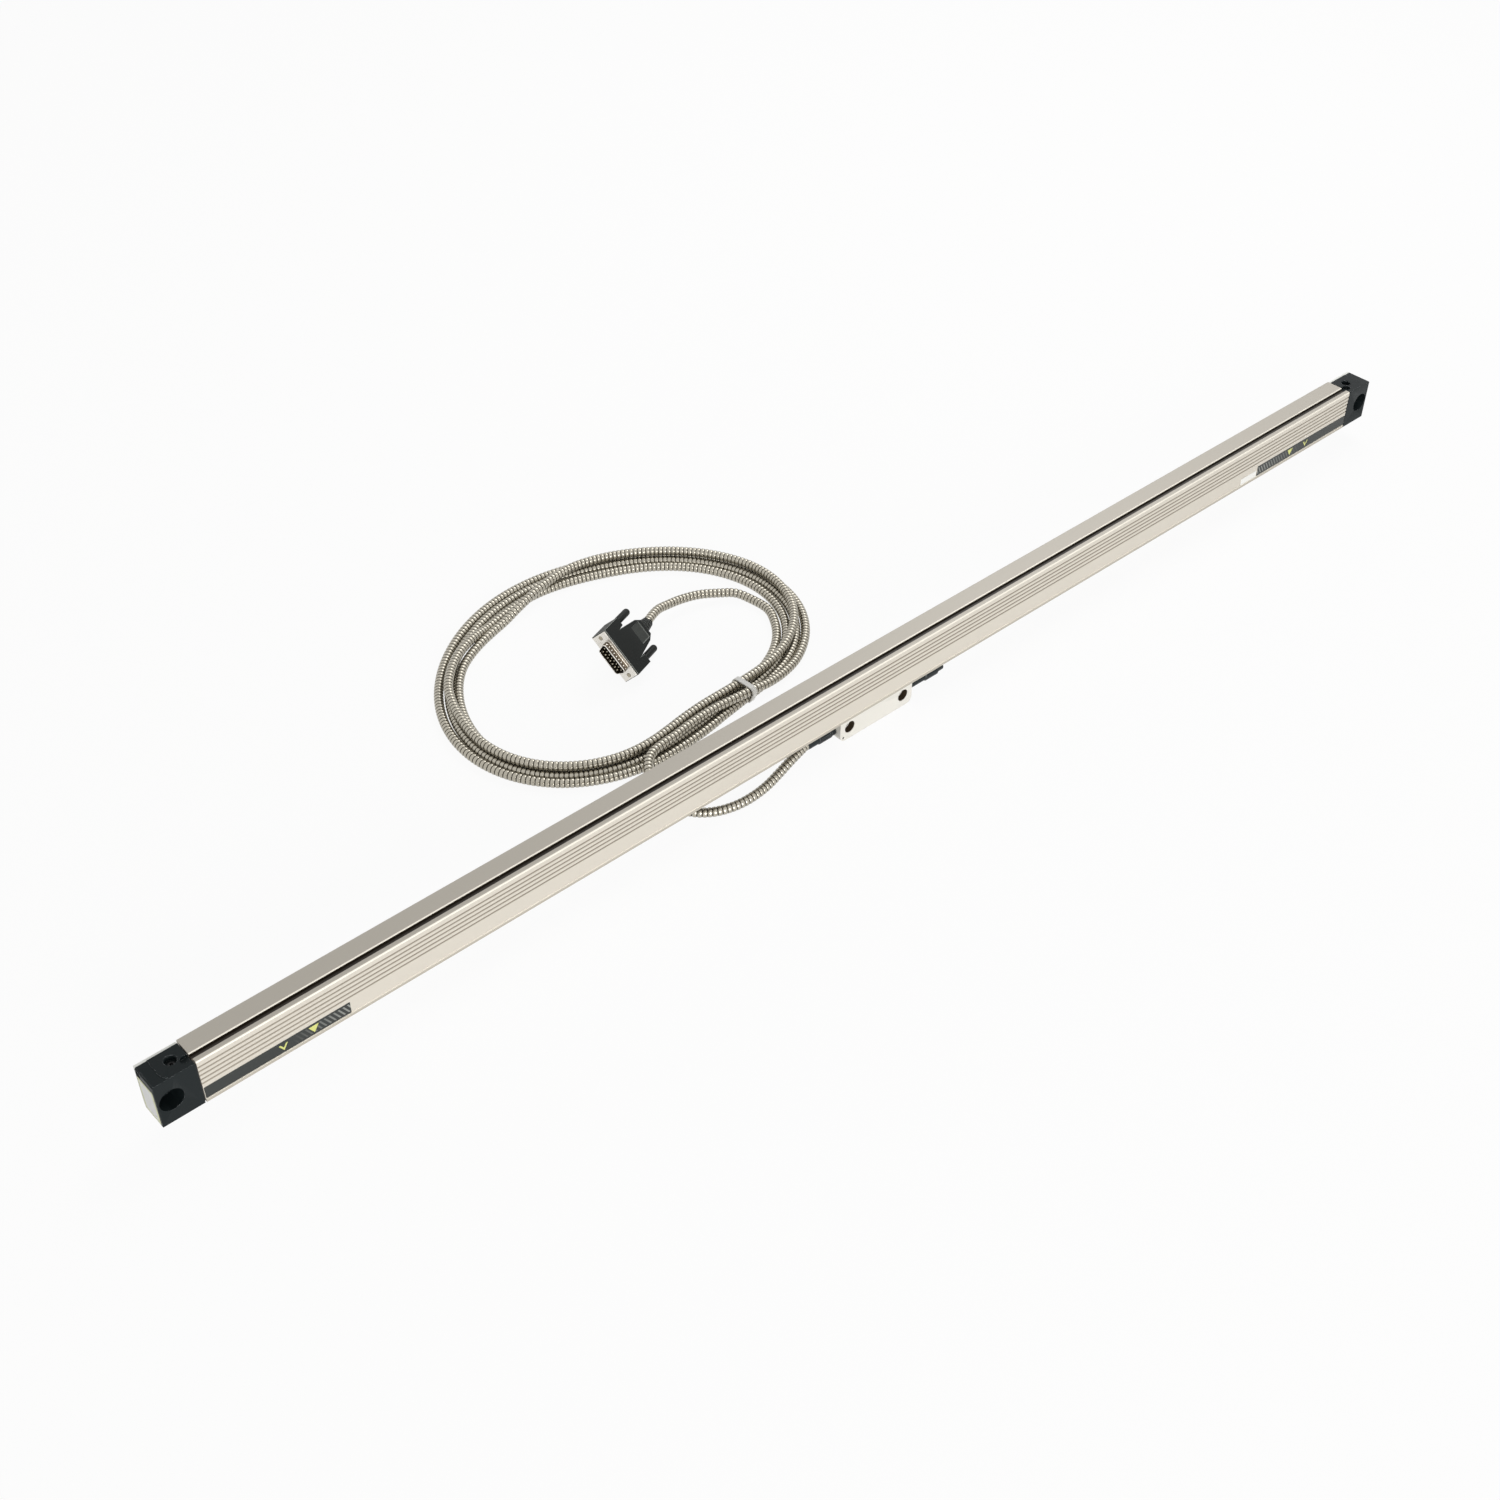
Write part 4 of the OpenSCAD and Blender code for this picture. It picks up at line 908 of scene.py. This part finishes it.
class GLASSSCALE_OT_blocks(bpy.types.Operator):
    """The black end blocks and the head's block, with softened edges"""

    bl_idname = "glass_scale.blocks"
    bl_label = "Blocks"

    def execute(self, context):
        f = finishes()
        black = finish_material("black_anodised", f.block, 0.48, bump=0.15, speckle=2500.0, stain=0.35,
                                Specular_IOR_Level=0.15)
        # painted highlights on the blocks' rounded edges
        edge = edge_material("black_edge_highlights", f.block, (0.80, 0.84, 0.86))
        for side in ("left", "right"):
            block = dressed_copy(f"{side}_end_block", f"{side}_block", black, 0.3, edge, clamp=True)
            place_piece(block, "scale_unit", "block_black", f"{side}_end_block")
        # painted highlights on the head block's rounded edges
        head = dressed_copy("head_block", "head_casting", self.head_material(f), 0.25,
                            edge_material("head_edges", f.head, (0.95, 0.93, 0.88)))
        place_piece(head, "reading_head", "head_metal", "head_block")
        return {"FINISHED"}

    def head_material(self, f):
        """Pale casting with painted shade in its bores."""
        material = finish_material("head_casting", f.head, 0.42, bump=0.1, stain=0.06, Metallic=0.1)
        tree = material.node_tree
        x, y, z = split_place(tree)
        deep = both(tree, inside(tree, x, HEAD_LOW.x / MM + 1.5, HEAD_HIGH.x / MM - 1.5),
                    inside(tree, y, HEAD_LOW.y / MM + 0.6, HEAD_HIGH.y / MM - 0.6),
                    inside(tree, z, HEAD_LOW.z / MM + 1.5, HEAD_HIGH.z / MM - 1.5))
        # painted shade inside the bores
        return paint(material, (deep, (0.055, 0.038, 0.022)))


class GLASSSCALE_OT_fittings(bpy.types.Operator):
    """The connector, the blind plug and the cable's plug, with softened edges and grips"""

    bl_idname = "glass_scale.fittings"
    bl_label = "Fittings"

    def execute(self, context):
        f = finishes()
        black = finish_material("black_fittings", f.block, 0.4, bump=0.1, stain=0.2, Specular_IOR_Level=0.3)
        # painted highlights on the fittings' and the hood's rounded edges
        edge = edge_material("fitting_edges", f.block, (0.16, 0.17, 0.17))
        hood_edge = edge_material("hood_edges", f.hood, (0.26, 0.28, 0.26))
        knurled = self.knurled_material(f)
        boot = moulded_material("boot_plastic", f.hood, 0.4)
        for node, name, bevel, material, side, slot in (
                ("connector_body", "connector_barrel", 0.12, black, edge, "connector_black"),
                ("connector_collar", "connector_ring", 0.12, knurled, edge, "connector_black"),
                ("connector_sleeve", "connector_tail", 0.15, black, edge, "connector_black"),
                ("blind_plug", "blank_plug", 0.15, black, edge, "connector_black"),
                ("plug_hood", "hood_shell", 0.3, self.hood_material(f), hood_edge, "plug_black"),
                ("plug_boot", "ribbed_boot", 0.1, boot, hood_edge, "plug_black"),
                ("plug_thumbscrews", "thumb_grips", 0.08, self.grip_material(f), None, "plug_black"),
                ("plug_shell", "plated_flange", 0.1, self.shell_material(), None, "shell_plated")):
            piece = dressed_copy(node, name, material, bevel, side)
            place_piece(piece, "reading_head", slot, node)
        return {"FINISHED"}

    def hood_material(self, f):
        """Moulded plastic with a painted sheen: a paler field in the recess of each wide face."""
        material = moulded_material("hood_plastic", f.hood, 0.45)
        tree = material.node_tree
        x, y, z = split_plug_place(tree)
        field = both(tree, inside(tree, x, *RECESS_ALONG), inside(tree, y, *RECESS_ACROSS),
                     inside(tree, math_node(tree, "ABSOLUTE", z), *RECESS_FROM_MIDDLE))
        # painted sheen on the field in the recess
        return paint(material, (field, (0.055, 0.060, 0.056)))

    def grip_material(self, f):
        """Plastic grips whose steel screws show in the flange's holes."""
        material = moulded_material("grip_plastic", f.hood, 0.42)
        tree = material.node_tree
        x, _, _ = split_plug_place(tree)
        steel = math_node(tree, "GREATER_THAN", x, SCREW_STEEL)
        feed(tree, tree.nodes["Principled BSDF"].inputs["Metallic"], steel)
        return paint(material, (steel, (0.42, 0.38, 0.30)))

    def shell_material(self):
        """Plated steel: a pale flange and rim, painted shade on its wall, and a row of small painted
        highlights on its dimples.
        """
        material = finish_material("plated_shell", (0.84, 0.81, 0.75), 0.3, bump=0.05, Metallic=0.75)
        tree = material.node_tree
        x, y, _ = split_plug_place(tree)
        spots = inside(tree, repeats(tree, y, PIN_PITCH, 10.5), 0.3, 0.6)
        dimples = both(tree, inside(tree, x, *DIMPLE_ROW), spots)
        wall = inside(tree, x, *SHELL_WALL)
        # painted shade on the shell's wall, and painted highlights on its dimples
        return paint(material, (wall, (0.10, 0.075, 0.05)), (dimples, (0.92, 0.89, 0.82)))

    def knurled_material(self, f):
        """Black metal with straight knurls round the collar."""
        material = finish_material("black_knurled", f.block, 0.38, Specular_IOR_Level=0.35)
        tree = material.node_tree
        low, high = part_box("connector_collar")
        _, y, z = split_place(tree)
        across = math_node(tree, "SUBTRACT", y, (low.y + high.y) / 2 / MM)
        up = math_node(tree, "SUBTRACT", z, (low.z + high.z) / 2 / MM)
        turn = math_node(tree, "ARCTAN2", up, across)
        relief = next(n for n in tree.nodes if n.type == "BUMP")
        set_values(relief, Strength=0.5, Distance=0.2 * MM)
        feed(tree, relief.inputs["Height"],
             math_node(tree, "SINE", math_node(tree, "MULTIPLY", turn, KNURLS)))
        return material


# films on the housing in millimetres: ends and mark of each strip, its foot and height, the blank
# sticker's left end, foot, width and height, and the same of the label on the left block's end
STRIPS = (("left_range_strip", (-537.2, -440.5), -465.5), ("right_range_strip", (420.5, 537.2), 463.5))
STRIP_FOOT = 20.95
STRIP_HEIGHT = 8.9
BLANK_STICKER = (399.8, 21.0, 19.6, 5.6)
END_STICKER = (7.7, 18.8, 17.2, 27.2)
END_FACE = HOUSING_LOW.x / MM - 27.5
FILM_LIFT = 0.01
FILM_THICKNESS = 0.14
# the strips' pattern in millimetres: the hatching's pitch and the heights that it lies between, the marks'
# foot and the slope of their sides, and the chevron's distance from the triangle and its thickness
HATCH_PITCH = 3.2
HATCH_HEIGHTS = (22.4, 28.6)
MARK_FOOT = 22.6
MARK_SLOPE = 0.62
CHEVRON_STEP = 20.5
CHEVRON_THICKNESS = 1.3


class GLASSSCALE_OT_stickers(bpy.types.Operator):
    """Plain range strips along the housing's front, and blank stickers"""

    bl_idname = "glass_scale.stickers"
    bl_label = "Stickers"

    def execute(self, context):
        for name, ends, mark in STRIPS:
            corner, wide = Vector((ends[0], FRONT, STRIP_FOOT)), Vector((ends[1] - ends[0], 0, 0))
            strip = self.sticker(name, corner, wide, Vector((0, 0, STRIP_HEIGHT)), 0.5,
                                 self.strip_material(name, ends, mark))
            place_piece(strip, "scale_unit", "module_plastic")
        white = finish_material("sticker_white", (0.90, 0.90, 0.87), 0.5, bump=0.05)
        left, foot, width, height = BLANK_STICKER
        blank = self.sticker("blank_sticker", Vector((left, FRONT, foot)), Vector((width, 0, 0)),
                             Vector((0, 0, height)), 0.8, white)
        place_piece(blank, "scale_unit", "tie_white")
        left, foot, width, height = END_STICKER
        label = self.sticker("end_sticker", Vector((END_FACE, left, foot)), Vector((0, -width, 0)),
                             Vector((0, 0, height)), 1.0, self.bordered_material())
        place_piece(label, "scale_unit", "tie_white")
        return {"FINISHED"}

    def sticker(self, name, corner, wide, tall, radius, material):
        """A thin film with rounded corners, laid on a face with its outside towards wide x tall."""
        out = wide.cross(tall).normalized()
        across, up = wide.normalized(), tall.normalized()
        points = []
        for right, top, turn in ((1, 1, 0), (0, 1, 90), (0, 0, 180), (1, 0, 270)):
            centre = (corner + wide * right + tall * top
                      + across * (radius * (1 - 2 * right)) + up * (radius * (1 - 2 * top)))
            for step in range(0, 91, 30):
                t = math.radians(turn + step)
                points.append((centre + across * (radius * math.cos(t)) + up * (radius * math.sin(t))
                               + out * FILM_LIFT) * MM)
        film = mesh_piece(name, points, [tuple(range(len(points)))])
        make_active(film)
        bpy.ops.object.mode_set(mode="EDIT")
        bpy.ops.mesh.select_all(action="SELECT")
        bpy.ops.mesh.extrude_region_move(TRANSFORM_OT_translate={"value": out * FILM_THICKNESS * MM})
        bpy.ops.mesh.select_all(action="SELECT")
        bpy.ops.mesh.normals_make_consistent(inside=False)
        bpy.ops.object.mode_set(mode="OBJECT")
        coat(film, material)
        return film

    def strip_material(self, name, ends, mark):
        """Dark slate film with slanted hatching that fades along it, a small triangle and a chevron."""
        material = finish_material(name + "_film", finishes().slate, 0.4, bump=0.03, Specular_IOR_Level=0.3)
        tree = material.node_tree
        x, _, z = split_place(tree)
        outer, inner = ends if mark < 0 else ends[::-1]
        slant = math_node(tree, "MULTIPLY_ADD", z, 0.6, x)
        stripe = math_node(tree, "LESS_THAN", repeats(tree, slant, HATCH_PITCH, 400.0), 0.38)
        fade = ramp(tree, x, inner, mark + (outer - mark) * 0.2, 0.9, 0.0)
        hatch = both(tree, stripe, fade, inside(tree, z, *HATCH_HEIGHTS))
        wide = math_node(tree, "MULTIPLY_ADD", z, MARK_SLOPE, -MARK_FOOT * MARK_SLOPE)
        triangle = both(tree, math_node(tree, "LESS_THAN", away_from(tree, x, mark), wide),
                        inside(tree, z, MARK_FOOT, MARK_FOOT + 5.6))
        beside = away_from(tree, x, mark + math.copysign(CHEVRON_STEP, mark))
        hollow = math_node(tree, "SUBTRACT", wide, CHEVRON_THICKNESS)
        chevron = both(tree, math_node(tree, "LESS_THAN", beside, wide),
                       math_node(tree, "GREATER_THAN", beside, hollow),
                       inside(tree, z, MARK_FOOT, MARK_FOOT + 5.0))
        marks = math_node(tree, "MAXIMUM", triangle, chevron)
        return paint(material, (hatch, (0.30, 0.31, 0.29)), (marks, (0.66, 0.68, 0.22)))

    def bordered_material(self):
        """White film with a pale border."""
        material = finish_material("bordered_film", (0.80, 0.82, 0.55), 0.5, bump=0.05)
        tree = material.node_tree
        _, y, z = split_place(tree)
        field = both(tree, inside(tree, y, -7.6, 5.9), inside(tree, z, 20.6, 44.2))
        return paint(material, (field, (0.90, 0.91, 0.90)))


class GLASSSCALE_PT_panel(bpy.types.Panel):
    """Lists the operators that build the glass scale"""

    bl_idname = "GLASSSCALE_PT_panel"
    bl_label = "Glass Scale"
    bl_space_type = "VIEW_3D"
    bl_region_type = "UI"
    bl_category = "Glass Scale"

    def draw(self, context):
        for step in STEPS:
            self.layout.operator(step.bl_idname)


STEPS = (GLASSSCALE_OT_stage, GLASSSCALE_OT_finishes, GLASSSCALE_OT_blocks, GLASSSCALE_OT_fittings,
         GLASSSCALE_OT_stickers, GLASSSCALE_OT_cable)
CLASSES = (CableSettings, FinishSettings, StageSettings, *STEPS, GLASSSCALE_PT_panel)


def register():
    for cls in CLASSES:
        bpy.utils.register_class(cls)
    bpy.types.Scene.glass_scale_cable = bpy.props.PointerProperty(type=CableSettings)
    bpy.types.Scene.glass_scale_finish = bpy.props.PointerProperty(type=FinishSettings)
    bpy.types.Scene.glass_scale_stage = bpy.props.PointerProperty(type=StageSettings)


def unregister():
    del bpy.types.Scene.glass_scale_cable
    del bpy.types.Scene.glass_scale_finish
    del bpy.types.Scene.glass_scale_stage
    for cls in reversed(CLASSES):
        bpy.utils.unregister_class(cls)


def main():
    register()
    bpy.ops.glass_scale.stage()
    bpy.ops.glass_scale.finishes()
    bpy.ops.glass_scale.blocks()
    bpy.ops.glass_scale.fittings()
    bpy.ops.glass_scale.stickers()
    bpy.ops.glass_scale.cable()


if __name__ == "__main__":
    main()
